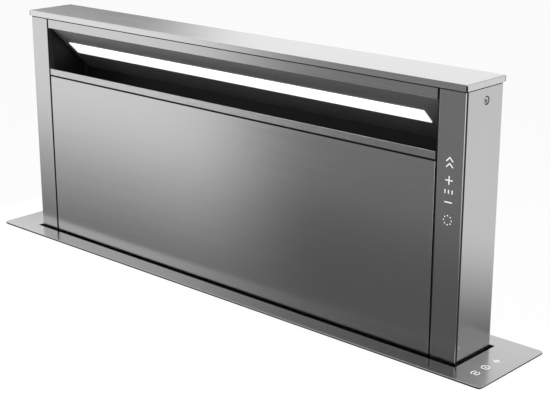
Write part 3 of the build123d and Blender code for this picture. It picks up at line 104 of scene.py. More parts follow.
class Recipe:
    """The node tree of one finish, or of the world."""

    def __init__(self, owner: bpy.types.Material | bpy.types.World) -> None:
        """Empty a tree.

        Args:
            owner: The material or the world that it belongs to.
        """
        owner.use_nodes = True
        self.owner = owner
        self.tree = owner.node_tree
        self.tree.nodes.clear()

    def node(
        self,
        kind: str,
        settings: dict[str, Any] | None = None,
        inputs: dict[Any, Any] | None = None,
        output: Any = 0,
    ) -> Signal | None:
        """Add a node.

        Args:
            kind: The node's type.
            settings: Its properties, set first.
            inputs: Values or signals of its sockets, by name or number.
            output: The output socket to return, by name or number.

        Returns:
            The chosen output; nothing for a node that ends the tree.
        """
        made = self.tree.nodes.new(kind)
        for key, value in (settings or {}).items():
            setattr(made, key, value)
        for key, value in (inputs or {}).items():
            if isinstance(value, Signal):
                self.tree.links.new(value.socket, made.inputs[key])
            else:
                made.inputs[key].default_value = value
        return Signal(self, made.outputs[output]) if made.outputs else None

    def spot(self) -> Signal:
        """Object coordinates."""
        return self.node("ShaderNodeTexCoord", output="Object")

    def place(self, scale: Point = (1.0, 1.0, 1.0)) -> Signal:
        """Object coordinates, scaled along each axis."""
        return self.node("ShaderNodeMapping", inputs={"Vector": self.spot(), "Scale": scale})

    def along(self, side: Side) -> Signal:
        """Place along one axis of the object."""
        inputs = {"Vector": self.spot()}
        return self.node("ShaderNodeSeparateXYZ", inputs=inputs, output=side.value)

    def noise(
        self, scale: float, detail: float = 3.0, rough: float = 0.5, vector: Signal | None = None
    ) -> Signal:
        """Noise, as a signal about one half.

        Args:
            scale: Cells per metre.
            detail: Octaves.
            rough: How strong the finer octaves are.
            vector: Where it is read; the object's coordinates if left out.

        Returns:
            The noise.
        """
        where = vector or self.place()
        inputs = {"Vector": where, "Scale": scale, "Detail": detail, "Roughness": rough}
        return self.node("ShaderNodeTexNoise", inputs=inputs, output="Fac")

    def blend(self, amount: Signal, low: Any, high: Any) -> Signal:
        """Mix two colours.

        Args:
            amount: Share of the second colour.
            low: First colour or signal.
            high: Second colour or signal.

        Returns:
            The mixed colour.
        """
        first, second = (rgba(c) if isinstance(c, tuple) else c for c in (low, high))
        inputs = {0: amount, 6: first, 7: second}
        return self.node("ShaderNodeMix", {"data_type": "RGBA"}, inputs, output=2)

    def step(
        self, value: Signal, start: float, end: float, low: float = 0.0, high: float = 1.0
    ) -> Signal:
        """A soft step from low to high, while a value goes from start to end."""
        inputs = {"Value": value, "From Min": start, "From Max": end, "To Min": low, "To Max": high}
        return self.node("ShaderNodeMapRange", {"interpolation_type": "SMOOTHSTEP"}, inputs)

    def bump(self, height: Signal, strength: float, distance: float) -> Signal:
        """A normal from a height of zero to one, with a strength and a depth in metres."""
        inputs = {"Height": height, "Strength": strength, "Distance": distance}
        return self.node("ShaderNodeBump", inputs=inputs)

    def seen(self) -> Signal:
        """Tell what is seen from what is only lit.

        Returns:
            One for the camera's rays, straight, reflected or through glass.
        """
        rays = ("Is Camera Ray", "Is Glossy Ray", "Is Transmission Ray")
        camera, glossy, through = (self.node("ShaderNodeLightPath", output=ray) for ray in rays)
        return camera + glossy + through

    def glow(self, kind: str, strength: Any) -> Signal:
        """White light of an Emission or Background node."""
        return self.node(kind, inputs={"Color": rgba(WHITE), "Strength": strength})

    def surface(self, **sockets: Any) -> bpy.types.Material:
        """Finish the material with a Principled shader; its sockets have underscores for spaces."""
        named = {key.replace("_", " "): value for key, value in sockets.items()}
        return self.output(self.node("ShaderNodeBsdfPrincipled", inputs=named))

    def output(self, shader: Signal, kind: str = "ShaderNodeOutputMaterial") -> Any:
        """Join a shader to the tree's output, and return the material or the world."""
        self.node(kind, inputs={"Surface": shader})
        return self.owner


def rgba(colour: Colour) -> tuple[float, float, float, float]:
    """A colour with full alpha."""
    return (*colour, 1.0)


def scaled(colour: Colour, factor: float, added: float = 0.0) -> Colour:
    """A colour made lighter or darker by a factor and a sum, and kept within one."""
    return tuple(min(1.0, factor * channel + added) for channel in colour)


def shared(shares: Sequence[float], *signals: Signal) -> Signal:
    """Signals summed, each by its share."""
    return functools.reduce(operator.add, map(operator.mul, signals, shares))


def spread(amount: Signal, span_and_low: Pair) -> Signal:
    """A share of zero to one, spread over a span from its low end."""
    return amount * span_and_low[0] + span_and_low[1]


def around(amount: Signal, middle: float, span: float) -> Signal:
    """A share of zero to one, spread over a span about a middle value."""
    return (amount - 0.5) * span + middle


# FINISHES


class Grain(Enum):
    """The direction that a brushed face was worked in, as the stretch of its noise."""

    ALONG_X = (0.012, 1.0, 1.0)
    ALONG_Z = (1.0, 1.0, 0.012)


class Side(Enum):
    """An axis of the frame, as the number of its socket."""

    X = 0
    Y = 1
    Z = 2


class Finish:
    """A surface finish, made into a material once."""

    made: dict[str, bpy.types.Material] = {}

    def material(self) -> bpy.types.Material:
        """Make the finish's material on first use.

        Returns:
            The material.
        """
        key = repr(self)
        if key not in Finish.made:
            Finish.made[key] = self.mix(Recipe(bpy.data.materials.new(type(self).__name__)))
        return Finish.made[key]

    def mix(self, recipe: Recipe) -> bpy.types.Material:
        """Build the node tree.

        Args:
            recipe: An empty recipe.

        Returns:
            The material.
        """
        raise NotImplementedError


@dataclass(frozen=True)
class BrushedSteel(Finish):
    """Stainless sheet, brushed one way; within a distance of the middle plane it may be painted
    dark and rough as shade.
    """

    grain: Grain = Grain.ALONG_X
    tone: float = 0.60
    roughness: float = 0.22
    lines_per_metre: float = 1500.0
    lines_per_band: float = 12.0
    line_noise: Pair = (2.0, 0.6)
    band_noise: Pair = (3.0, 0.55)
    cloud_noise: Pair = (7.0, 2.0)
    shares: Point = (0.5, 0.35, 0.15)
    warmth: float = 0.995
    depth: float = 0.000012
    spread: float = 0.3
    contrast: float = 0.06
    roughness_span: float = 0.10
    painted_shade_side: Side = Side.Y
    painted_shade_within: float = 0.0
    painted_shade_tone: float = 0.045
    painted_shade_roughness: float = 0.6

    def mix(self, recipe: Recipe) -> bpy.types.Material:
        """Brush the steel with lines, bands and clouds, and paint shade near the middle plane.

        Args:
            recipe: An empty recipe.

        Returns:
            The material.
        """
        stretched = recipe.place(self.grain.value)
        bands_per_metre = self.lines_per_metre / self.lines_per_band
        lines = recipe.noise(self.lines_per_metre, *self.line_noise, stretched)
        bands = recipe.noise(bands_per_metre, *self.band_noise, stretched)
        clouds = recipe.noise(*self.cloud_noise)
        amount = shared(self.shares, lines, bands, clouds)
        low, high = (
            (level, level, level * self.warmth)
            for level in (self.tone * (1.0 - self.contrast), self.tone * (1.0 + self.contrast))
        )
        steel = recipe.blend(amount, low, high)
        rough = around(amount, self.roughness, self.roughness_span)
        # Painted shade: faces within the distance of the middle plane, inside the mast or on the
        # deck's edges, turn dark and rough.
        if self.painted_shade_within:
            painted_shade = abs(recipe.along(self.painted_shade_side)) < self.painted_shade_within
            steel = recipe.blend(painted_shade, steel, (self.painted_shade_tone,) * 3)
            rough = rough + painted_shade * (self.painted_shade_roughness - self.roughness)
        return recipe.surface(
            Base_Color=steel,
            Metallic=1.0,
            Roughness=rough,
            Normal=recipe.bump(lines, self.spread, self.depth),
        )


@dataclass(frozen=True)
class GalvanisedSheet(Finish):
    """Zinc-coated steel with a faint spangle."""

    dark: Colour = (0.4032, 0.4176, 0.4272)
    light: Colour = (0.528, 0.5424, 0.552)
    metallic: float = 0.92
    roughness: float = 0.42
    roughness_span: float = 0.16
    spangles_per_metre: float = 95.0
    cloud_noise: Point = (6.0, 4.0, 0.6)
    grit_noise: Pair = (900.0, 2.0)
    tint_shares: Pair = (0.55, 0.45)
    relief_shares: Pair = (0.4, 0.6)
    bite: float = 0.12
    depth: float = 0.00004

    def mix(self, recipe: Recipe) -> bpy.types.Material:
        """Lay a spangle over soft clouds.

        Args:
            recipe: An empty recipe.

        Returns:
            The material.
        """
        inputs = {"Vector": recipe.place(), "Scale": self.spangles_per_metre}
        spangle = recipe.node("ShaderNodeTexVoronoi", inputs=inputs, output="Color")
        grey = recipe.node("ShaderNodeRGBToBW", inputs={"Color": spangle})
        clouds = recipe.noise(*self.cloud_noise)
        grit = recipe.noise(*self.grit_noise)
        tint = shared(self.tint_shares, grey, clouds)
        relief = shared(self.relief_shares, grit, grey)
        return recipe.surface(
            Base_Color=recipe.blend(tint, self.dark, self.light),
            Metallic=self.metallic,
            Roughness=around(grey, self.roughness, self.roughness_span),
            Normal=recipe.bump(relief, self.bite, self.depth),
        )


@dataclass(frozen=True)
class Moulded(Finish):
    """Moulded plastic or rubber: soft stains over a fine grit."""

    colour: Colour
    roughness: float = 0.5
    grit: float = 900.0
    depth: float = 0.00005
    metallic: float = 0.0
    grit_noise: Pair = (3.0, 0.65)
    grit_share: float = 0.0
    bite: float = 0.35
    stain_noise: Point = (18.0, 5.0, 0.7)
    dark: Pair = (1.0, 0.0)
    light: Pair = (1.25, 0.012)
    coat: float = 0.0
    coat_roughness: float = 0.15
    roughness_span: float = 0.2

    def mix(self, recipe: Recipe) -> bpy.types.Material:
        """Stain the surface and give it its grit.

        Args:
            recipe: An empty recipe.

        Returns:
            The material.
        """
        fine = recipe.noise(self.grit, *self.grit_noise)
        stain = recipe.noise(*self.stain_noise)
        amount = stain * (1.0 - self.grit_share) + fine * self.grit_share
        low, high = scaled(self.colour, *self.dark), scaled(self.colour, *self.light)
        return recipe.surface(
            Base_Color=recipe.blend(amount, low, high),
            Metallic=self.metallic,
            Roughness=around(stain, self.roughness, self.roughness_span),
            Normal=recipe.bump(fine, self.bite, self.depth),
            Coat_Weight=self.coat,
            Coat_Roughness=self.coat_roughness,
        )


@dataclass(frozen=True)
class Metal(Moulded):
    """Plain metal part: cast, drawn, plated or ground."""

    metallic: float = 0.95
    grit_noise: Pair = (3.0, 0.6)
    grit_share: float = 0.3
    bite: float = 0.3
    stain_noise: Point = (22.0, 4.0, 0.6)
    dark: Pair = (0.82, 0.0)
    light: Pair = (1.12, 0.0)


@dataclass(frozen=True)
class Enamel(Moulded):
    """Sprayed paint with a light orange peel."""

    grit_noise: Pair = (2.0, 0.4)
    bite: float = 0.15
    stain_noise: Point = (14.0, 5.0, 0.65)
    light: Pair = (1.3, 0.01)
    coat: float = 0.3


@dataclass(frozen=True)
class OpalLight(Finish):
    """Lit opal cover: even light that falls off a little towards its ends."""

    colour: Colour = (0.92, 0.92, 0.90)
    light: Colour = (1.0, 0.995, 0.975)
    strength: float = 1.02
    middle: float = -0.0135
    half_length: float = 0.3275
    fall_from: float = 0.96
    end_level: float = 0.8
    grain_noise: Pair = (700.0, 2.0)
    grain_light: Pair = (0.04, 0.98)
    grain_roughness: Pair = (0.1, 0.25)

    def mix(self, recipe: Recipe) -> bpy.types.Material:
        """Light the cover along X.

        Args:
            recipe: An empty recipe.

        Returns:
            The material.
        """
        reach = abs(recipe.along(Side.X) - self.middle) / self.half_length
        level = recipe.step(reach, self.fall_from, 1.0, 1.0, self.end_level)
        grain = recipe.noise(*self.grain_noise)
        glow = level * spread(grain, self.grain_light)
        return recipe.surface(
            Base_Color=rgba(self.colour),
            Roughness=spread(grain, self.grain_roughness),
            Emission_Color=recipe.blend(glow, BLACK, self.light),
            Emission_Strength=self.strength,
        )


@dataclass(frozen=True)
class Printed(Finish):
    """Printed touch symbol, lit from behind."""

    colour: Colour = (0.86, 0.88, 0.90)
    glow: float = 0.35
    dot_noise: Pair = (2600.0, 2.0)
    dot_factor: float = 1.06
    dot_roughness: Pair = (0.2, 0.3)

    def mix(self, recipe: Recipe) -> bpy.types.Material:
        """Dot the print, in its colour and its light.

        Args:
            recipe: An empty recipe.

        Returns:
            The material.
        """
        dots = recipe.noise(*self.dot_noise)
        print_colour = recipe.blend(dots, self.colour, scaled(self.colour, self.dot_factor))
        return recipe.surface(
            Base_Color=print_colour,
            Roughness=spread(dots, self.dot_roughness),
            Emission_Color=print_colour,
            Emission_Strength=self.glow,
        )


@dataclass(frozen=True)
class CircuitBoard(Finish):
    """Green solder mask with copper tracks under it."""

    dark: Colour = (0.012, 0.085, 0.035)
    light: Colour = (0.03, 0.20, 0.08)
    tracks_per_metre: float = 1 / 0.014
    row_offset: float = 0.5
    cloud_noise: Pair = (160.0, 2.0)
    cloud_roughness: Pair = (0.15, 0.25)
    shares: Pair = (0.6, 0.4)
    bite: float = 0.3
    depth: float = 0.00005

    def mix(self, recipe: Recipe) -> bpy.types.Material:
        """Lay tracks under the mask.

        Args:
            recipe: An empty recipe.

        Returns:
            The material.
        """
        inputs = {"Vector": recipe.place(), "Scale": self.tracks_per_metre}
        settings = {"offset": self.row_offset}
        tracks = recipe.node("ShaderNodeTexBrick", settings, inputs, output="Fac")
        clouds = recipe.noise(*self.cloud_noise)
        amount = shared(self.shares, tracks, clouds)
        return recipe.surface(
            Base_Color=recipe.blend(amount, self.dark, self.light),
            Roughness=spread(clouds, self.cloud_roughness),
            Normal=recipe.bump(tracks, self.bite, self.depth),
        )


@dataclass(frozen=True)
class StudioWhite(Finish):
    """Pale stage surface: white to the camera and in reflections, and it keeps a soft shadow."""

    grey: float = 0.86
    mottle: float = 0.99
    mottle_noise: Pair = (3.0, 2.0)
    shadow_share: float = 0.16
    strength: float = 1.05

    def mix(self, recipe: Recipe) -> bpy.types.Material:
        """Mix matt white with the background's white.

        Args:
            recipe: An empty recipe.

        Returns:
            The material.
        """
        pale = (self.grey,) * 3
        mottled = recipe.noise(*self.mottle_noise)
        tint = recipe.blend(mottled, scaled(pale, self.mottle), pale)
        matt = recipe.node("ShaderNodeBsdfDiffuse", inputs={"Color": tint})
        white = recipe.glow("ShaderNodeEmission", self.strength)
        share = recipe.seen() * (1.0 - self.shadow_share)
        mixed = recipe.node("ShaderNodeMixShader", inputs={0: share, 1: matt, 2: white})
        return recipe.output(mixed)


@dataclass(frozen=True)
class Fade:
    """A soft step along one direction of a studio card: zero up to start, one from end on."""

    along: Point
    start: float
    end: float

    def share(self, recipe: Recipe) -> Signal:
        """The step as a signal.

        Args:
            recipe: The card's recipe.

        Returns:
            The signal.
        """
        settings, inputs = {"operation": "DOT_PRODUCT"}, {0: recipe.spot(), 1: self.along}
        reach = recipe.node("ShaderNodeVectorMath", settings, inputs, output="Value")
        return recipe.step(reach, self.start, self.end)


@dataclass(frozen=True)
class GradedCard(Finish):
    """Studio card that glows from one grey to another where its fades let it."""

    low: float
    high: float
    fades: tuple[Fade, ...] = ()
    lift: float = 0.0
    lift_fade: Fade = Fade((0.0, -1.0, 0.0), 0.25, 0.60)

    def mix(self, recipe: Recipe) -> bpy.types.Material:
        """Multiply the fades and add the lift.

        Args:
            recipe: An empty recipe.

        Returns:
            The material.
        """
        level = self.high - self.low
        for fade in self.fades:
            level = fade.share(recipe) * level
        if self.lift:
            level = self.lift_fade.share(recipe) * self.lift + level
        return recipe.output(recipe.glow("ShaderNodeEmission", level + self.low))


BRUSHED_X = BrushedSteel()
# Painted shade: the deck steel turns dark below the deck's top, on its edges and slot walls.
DECK_STEEL = BrushedSteel(depth=0.00002, painted_shade_side=Side.Z, painted_shade_within=0.0031)
# Painted shade: lip, face and rear steel turn dark on their faces inside the mast, column steel on
# the columns' inner faces.
LIP_STEEL = BrushedSteel(depth=0.0002, spread=0.8, painted_shade_within=0.0363)
FACE_STEEL = BrushedSteel(contrast=0.09, painted_shade_within=0.0363)
REAR_STEEL = BrushedSteel(painted_shade_within=0.0363, painted_shade_tone=0.12)
COLUMN_STEEL = BrushedSteel(Grain.ALONG_Z, painted_shade_side=Side.X, painted_shade_within=0.3557)
CANOPY_STEEL = BrushedSteel(tone=0.74, roughness=0.5)
CAP_STEEL = BrushedSteel(tone=0.72)
GALVANISED = GalvanisedSheet()
ZINC = Metal((0.62, 0.62, 0.58), 0.30, 1500.0, 0.00001)
GROUND = Metal((0.56, 0.56, 0.56), 0.22, 2500.0, 0.000008)
EXTRUDED = Metal((0.66, 0.67, 0.68), 0.34, 1800.0, 0.00001)
# Dark grey: painted shade on the filters, frames and tray inside the intake.
FILTER_PAINTED_SHADE = Metal((0.10, 0.10, 0.102), 0.5, 1500.0, 0.00002)
CAST = Metal((0.42, 0.43, 0.44), 0.52, 900.0, 0.00009)
FERRITE = Metal((0.10, 0.10, 0.105), 0.55, 1400.0, 0.00005, 0.3)
RUBBER = Moulded((0.018, 0.018, 0.019), 0.72, 700.0, 0.00008)
BLACK_PLASTIC = Moulded((0.03, 0.03, 0.032), 0.46)
# Near-black and very rough: painted shade in gaps, grooves, sockets and about screw heads.
SHADE_BLACK = Moulded((0.006, 0.006, 0.006), 0.9, 700.0, 0.00004)
BELT_RUBBER = Moulded((0.022, 0.022, 0.024), 0.6, 1100.0, 0.00006)
GREY_PLASTIC = Moulded((0.28, 0.29, 0.30))
# Black paint of the lift motor; on the deck collar it is painted shade in the slot.
BLACK_ENAMEL_AND_SHADE = Enamel((0.05, 0.05, 0.055), 0.32, 420.0, 0.00008)
OPAL = OpalLight()
PRINT = Printed()
BOARD = CircuitBoard()
FLOOR_WHITE = StudioWhite()
WORKTOP_WHITE = StudioWhite(shadow_share=0.1)


# MODELLING HELPERS


def deselect() -> None:
    """Select nothing and leave edit mode."""
    if bpy.context.object and bpy.context.object.mode != "OBJECT":
        bpy.ops.object.mode_set(mode="OBJECT")
    bpy.ops.object.select_all(action="DESELECT")


def choose(piece: bpy.types.Object) -> None:
    """Select one object alone and make it active.

    Args:
        piece: The object.
    """
    deselect()
    piece.select_set(True)
    bpy.context.view_layer.objects.active = piece


def circle(steps: int, start: float = 0.0) -> list[float]:
    """Evenly spread directions in radians; the first is a share of a step from zero."""
    return [math.tau * (step + start) / steps for step in range(steps)]


CROSS_ARM = 0.26
RIB_DEPTH = 0.03
RIBS = 18


class Form(Enum):
    """The outline of one ring of a turned piece."""

    ROUND = "round"
    HEX = "hexagon"
    CROSS = "cross"
    RIBBED = "ribbed"

    def reach(self, radius: float, angle: float) -> float:
        """Distance from the axis to the outline.

        Args:
            radius: The outline's greatest radius.
            angle: The direction, in radians.

        Returns:
            The distance.
        """
        if self is Form.HEX:
            sector = math.pi / 3
            return radius * math.cos(sector / 2) / math.cos(angle % sector - sector / 2)
        if self is Form.CROSS:
            across, along = sorted((abs(math.cos(angle)), abs(math.sin(angle))))
            return min(radius / along, CROSS_ARM * radius / max(across, 1e-6))
        if self is Form.RIBBED:
            return radius * (1.0 - RIB_DEPTH + RIB_DEPTH * math.cos(RIBS * angle))
        return radius


@dataclass(frozen=True)
class Thread:
    """A helical thread between two heights of a turned piece."""

    start: float
    end: float
    pitch: float
    depth: float

    def cut(self, height: float, angle: float) -> float:
        """Depth of the thread's groove.

        Args:
            height: Height of the point.
            angle: Its direction, in radians.

        Returns:
            The depth, zero beyond the thread.
        """
        if not self.start <= height <= self.end:
            return 0.0
        turn = (height / self.pitch - angle / math.tau) % 1.0
        return self.depth * abs(2 * turn - 1)

    def rings(self, radius: float, per_turn: int = 5) -> list[tuple]:
        """Profile points along the thread.

        Args:
            radius: The thread's outer radius.
            per_turn: How many points each turn has.

        Returns:
            Radius and height of each point.
        """
        count = round((self.end - self.start) / self.pitch * per_turn)
        step = (self.end - self.start) / count
        return [(radius, self.start + step * index) for index in range(count + 1)]


@dataclass(frozen=True)
class Screw:
    """A threaded piece: rings of radius, height and form before and after its thread."""

    before: tuple
    thread: Thread
    shank: float
    after: tuple
    steps: int

    def add(self, shape: Shape, place: Matrix, closed: bool = False) -> None:
        """Turn the piece into a mesh.

        Args:
            shape: The mesh.
            place: Where it goes.
            closed: Whether its rings make a loop.
        """
        profile = (*self.before, *self.thread.rings(self.shank), *self.after)
        shape.turned(profile, place, self.steps, self.thread, closed)


def mirrored(bar: Bar, axis: int) -> list[Bar]:
    """A bar and its mirror image.

    Args:
        bar: Its lowest and highest corner.
        axis: Number of the axis that is turned round.

    Returns:
        Both bars.
    """
    low, high = list(bar[0]), list(bar[1])
    low[axis], high[axis] = -bar[1][axis], -bar[0][axis]
    return [bar, (tuple(low), tuple(high))]


class Shape:
    """A mesh under construction."""

    def __init__(self) -> None:
        """Start an empty mesh."""
        self.mesh = bmesh.new()

    def skin(self, rings: Sequence[Sequence[Vector]], closed: bool = False) -> None:
        """Join rings of points with faces.

        Args:
            rings: The rings; one of a single point closes an end.
            closed: Whether the last ring joins the first.
        """
        made = [[self.mesh.verts.new(point) for point in ring] for ring in rings]
        if closed:
            made.append(made[0])
        for low, high in zip(made, made[1:]):
            for step in range(max(len(low), len(high))):
                corners = (
                    low[step % len(low)],
                    low[(step + 1) % len(low)],
                    high[(step + 1) % len(high)],
                    high[step % len(high)],
                )
                self.mesh.faces.new(list(dict.fromkeys(corners)))

    def turned(
        self,
        profile: Sequence[tuple],
        place: Matrix,
        steps: int,
        thread: Thread | None = None,
        closed: bool = False,
    ) -> None:
        """Turn a profile about Z.

        Args:
            profile: Radius, height and, where it isn't round, form of each ring.
            place: Where the piece goes.
            steps: Points round each ring.
            thread: Its thread.
            closed: Whether the profile is a loop.
        """
        rings = []
        for radius, height, *form in profile:
            if radius == 0.0:
                rings.append([place @ Vector((0.0, 0.0, height))])
                continue
            outline = form[0] if form else Form.ROUND
            ring = []
            for angle in circle(steps):
                reach = outline.reach(radius, angle)
                if thread:
                    reach -= thread.cut(height, angle)
                point = Vector((reach * math.cos(angle), reach * math.sin(angle), height))
                ring.append(place @ point)
            rings.append(ring)
        self.skin(rings, closed)

    def frame(self, outer: tuple, inner: tuple, low: float, high: float) -> None:
        """Add a flat rectangular ring about Z.

        Args:
            outer: Half sizes of the outline.
            inner: Half sizes of the opening.
            low: Its lower height.
            high: Its upper height.
        """
        corners = ((-1, -1), (1, -1), (1, 1), (-1, 1))
        sections = ((outer, low), (outer, high), (inner, high), (inner, low))
        self.skin(
            [[Vector((x * half[0], y * half[1], z)) for x, y in corners] for half, z in sections],
            closed=True,
        )

    def box(self, bar: Bar, round_over: float = 0.0) -> None:
        """Add a box.

        Args:
            bar: Its lowest and highest corner.
            round_over: Width of the bevel of its edges.
        """
        low, high = (Vector(corner) for corner in bar)
        place = Matrix.Translation((low + high) / 2) @ Matrix.Diagonal((*(high - low), 1.0))
        made = bmesh.ops.create_cube(self.mesh, size=1.0, matrix=place)["verts"]
        if round_over:
            edges = list({edge for vertex in made for edge in vertex.link_edges})
            bevel = {"offset": round_over, "segments": 2, "affect": "EDGES", "profile": 0.5}
            bmesh.ops.bevel(self.mesh, geom=edges, **bevel)

    def piece(self, name: str, angle: float = 35.0) -> bpy.types.Object:
        """Finish the mesh as an object.

        Args:
            name: The object's name.
            angle: Edges flatter than this are shaded smooth, in degrees.

        Returns:
            The object.
        """
        bmesh.ops.recalc_face_normals(self.mesh, faces=self.mesh.faces[:])
        data = bpy.data.meshes.new(name)
        self.mesh.to_mesh(data)
        self.mesh.free()
        made = bpy.data.objects.new(name, data)
        bpy.context.scene.collection.objects.link(made)
        choose(made)
        bpy.ops.object.shade_smooth_by_angle(angle=math.radians(angle))
        return made


def solids(name: str) -> list[list[Vector]]:
    """The points of each separate solid in a CAD node.

    Args:
        name: The node.

    Returns:
        One list of points for each solid.
    """
    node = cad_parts[name]
    shape = bmesh.new()
    shape.from_mesh(node.data)
    bmesh.ops.remove_doubles(shape, verts=shape.verts[:], dist=1e-6)
    found, seen = [], set()
    for start in shape.verts:
        if start in seen:
            continue
        group, fresh = set(), {start}
        while fresh:
            group |= fresh
            fresh = {edge.other_vert(v) for v in fresh for edge in v.link_edges} - group
        seen |= group
        found.append([node.matrix_world @ vertex.co for vertex in group])
    shape.free()
    return found


def limits(points: Sequence[Vector]) -> tuple[Vector, Vector]:
    """Lowest and highest corner of some points."""
    return tuple(Vector([pick(values) for values in zip(*points)]) for pick in (min, max))


def upright(low: Vector, high: Vector) -> Matrix:
    """The place of an upright piece midway between two corners; its heights are the frame's."""
    return Matrix.Translation(((low.x + high.x) / 2, (low.y + high.y) / 2, 0.0))


def dress(piece: bpy.types.Object, finish: Finish, body: str, slot: str, *nodes: str) -> None:
    """Give a new piece its finish and body, and hide the CAD nodes it stands for.

    Args:
        piece: The piece, in place.
        finish: Its finish.
        body: The body it rides on.
        slot: Not used.
        nodes: The nodes that it replaces.
    """
    piece.data.materials.append(finish.material())
    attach(piece, body)
    if nodes:
        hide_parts(*nodes)
    log.info("piece %s: %d faces on %s", piece.name, len(piece.data.polygons), body)


class Part:
    """A sub-assembly: the finishes of its CAD nodes and its own detailed pieces."""

    finishes: dict[Finish, tuple[str, ...]] = {}

    def paint(self) -> None:
        """Give every CAD node of the sub-assembly its finish."""
        for finish, names in self.finishes.items():
            for name in names:
                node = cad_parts[name]
                for material_slot in node.material_slots:
                    material_slot.material = finish.material()
                if not node.material_slots:
                    node.data.materials.append(finish.material())
                log.info("node %s wears %s", name, type(finish).__name__)

    def model(self) -> None:
        """Make the sub-assembly's own pieces."""

    def build(self) -> None:
        """Paint and model the sub-assembly."""
        self.paint()
        self.model()


# SUB-ASSEMBLIES


class Deck(Part):
    """The plate on the worktop, its gasket, seal, symbols and collar."""

    finishes = {
        DECK_STEEL: ("deck_plate",),
        RUBBER: ("deck_gasket", "slot_seal"),
        PRINT: ("deck_touch_keys",),
        BOARD: ("deck_touch_board",),
        # The collar is black as painted shade under the slot.
        BLACK_ENAMEL_AND_SHADE: ("deck_collar",),
    }


class Mast(Part):
    """The rising mast: columns, cap, header, lip, front and rear panel and base frame."""

    finishes = {
        CAP_STEEL: ("cap_plate",),
        COLUMN_STEEL: ("left_column", "right_column"),
        ZINC: ("side_screws",),
        FACE_STEEL: ("header_rail", "front_panel"),
        LIP_STEEL: ("intake_lip",),
        REAR_STEEL: ("rear_panel",),
        BRUSHED_X: ("base_frame",),
        FERRITE: ("panel_magnets",),
        PRINT: ("column_touch_keys",),
        BOARD: ("column_touch_board",),
    }
    # The cap's shadow gap: half sizes of the black ring of painted shade that fills it, and its
    # heights.
    shade_ring_outer = (0.3908, 0.0364)
    shade_ring_inner = (0.3868, 0.0324)
    shade_ring_heights = (0.33178, 0.33346)
    # Black bars of painted shade in the gaps of the right half, which the left half mirrors, and
    # the lip's whole bar.
    notch_bar = ((0.39180, 0.03730, 0.33360), (0.39338, 0.03888, 0.34060))
    groove_bar = ((0.39085, -0.03610, -0.12990), (0.39158, -0.03270, 0.33160))
    rear_joint_bar = ((0.35244, 0.02960, -0.12900), (0.35498, 0.03670, 0.33150))
    front_joint_bar = ((0.35244, -0.03520, 0.00480), (0.35498, -0.02960, 0.33150))
    lip_joint_bar = ((-0.35300, -0.03600, 0.24692), (0.35300, -0.03000, 0.24862))
    groove_round = 0.0001
    bar_round = 0.0002
    lip_round = 0.0003
    # Side screws, each with its head's face at height zero and its tip below.
    column_face = 0.3915
    screw = Screw(
        before=((0.0, -0.0400), (0.0014, -0.0400), (0.0019, -0.0391)),
        thread=Thread(-0.0385, -0.0040, 0.0007, 0.0003),
        shank=0.0020,
        after=(
            (0.0020, -0.0014), (0.0043, -0.0002), (0.0043, 0.0), (0.0040, 0.0),
            (0.0030, -0.0003), (0.0021, -0.0004, Form.HEX), (0.0017, -0.0006, Form.HEX),
            (0.0016, -0.0038, Form.HEX), (0.0, -0.0043),
        ),
        steps=36,
    )
    # A black plug in the hexagon socket: painted shade in the recess.
    socket_shade_plug = (
        (0.0, -0.0041), (0.0015, -0.0041, Form.HEX), (0.0016, -0.0009, Form.HEX), (0.0, -0.0007),
    )
    # Radius, shift and height of the cup's rings about the head: a black cup, shifted aside,
    # painting a shadow on the countersink.
    shadow_cup_rings = (
        (0.0044, 0.0, -0.0003), (0.0054, 0.0008, -0.0003), (0.0054, 0.0008, 0.00008),
        (0.0044, 0.0, 0.00008),
    )
    shadow_cup_steps = 48

    def model(self) -> None:
        """Make the black pieces of painted shade in the gaps and grooves, and the side screws."""
        self.cap_gap_shade()
        self.seam_shade_strips()
        self.joint_shade_strips()
        self.side_screws()

    def paint_shade(self, shape: Shape, name: str) -> None:
        """Finish a near-black piece of painted shade on the mast."""
        dress(shape.piece(name), SHADE_BLACK, "mast", "black_rubber")

    def cap_gap_shade(self) -> None:
        """Black ring of painted shade in the shadow gap between the columns' tops and the cap."""
        shape = Shape()
        shape.frame(self.shade_ring_outer, self.shade_ring_inner, *self.shade_ring_heights)
        self.paint_shade(shape, "cap_gap_shade")

    def seam_shade_strips(self) -> None:
        """Black strips of painted shade in the cap's corner notches and the columns' folded
        grooves.
        """
        shape = Shape()
        for bar in mirrored(self.notch_bar, 0):
            for twin in mirrored(bar, 1):
                shape.box(twin, self.bar_round)
        for bar in mirrored(self.groove_bar, 0):
            shape.box(bar, self.groove_round)
        self.paint_shade(shape, "seam_shade_strips")

    def joint_shade_strips(self) -> None:
        """Black strips of painted shade in the upright joints beside the panels and under the lip.
        """
        shape = Shape()
        for bar in (*mirrored(self.rear_joint_bar, 0), *mirrored(self.front_joint_bar, 0)):
            shape.box(bar, self.bar_round)
        shape.box(self.lip_joint_bar, self.lip_round)
        self.paint_shade(shape, "joint_shade_strips")

    def side_screws(self) -> None:
        """Countersunk screws with a hexagon socket; a black plug paints shade in each socket, and a
        shifted black cup paints a shadow about each head.
        """
        screws, shadow_cups = Shape(), Shape()
        for points in solids("side_screws"):
            low, high = limits(points)
            side = math.copysign(1.0, high.x + low.x)
            seat = Vector((side * self.column_face, (low.y + high.y) / 2, (low.z + high.z) / 2))
            place = Matrix.Translation(seat) @ Matrix.Rotation(side * math.pi / 2, 4, "Y")
            self.screw.add(screws, place)
            shadow_cups.turned(self.socket_shade_plug, place, self.screw.steps)
            rings = []
            for radius, shift, height in self.shadow_cup_rings:
                angles = circle(self.shadow_cup_steps)
                flat = [(radius * math.cos(a), radius * math.sin(a) + shift) for a in angles]
                rings.append([place @ Vector((*point, height)) for point in flat])
            shadow_cups.skin(rings, closed=True)
        dress(screws.piece("socket_screws"), ZINC, "mast", "zinc_screw", "side_screws")
        self.paint_shade(shadow_cups, "screw_shadow_cups")


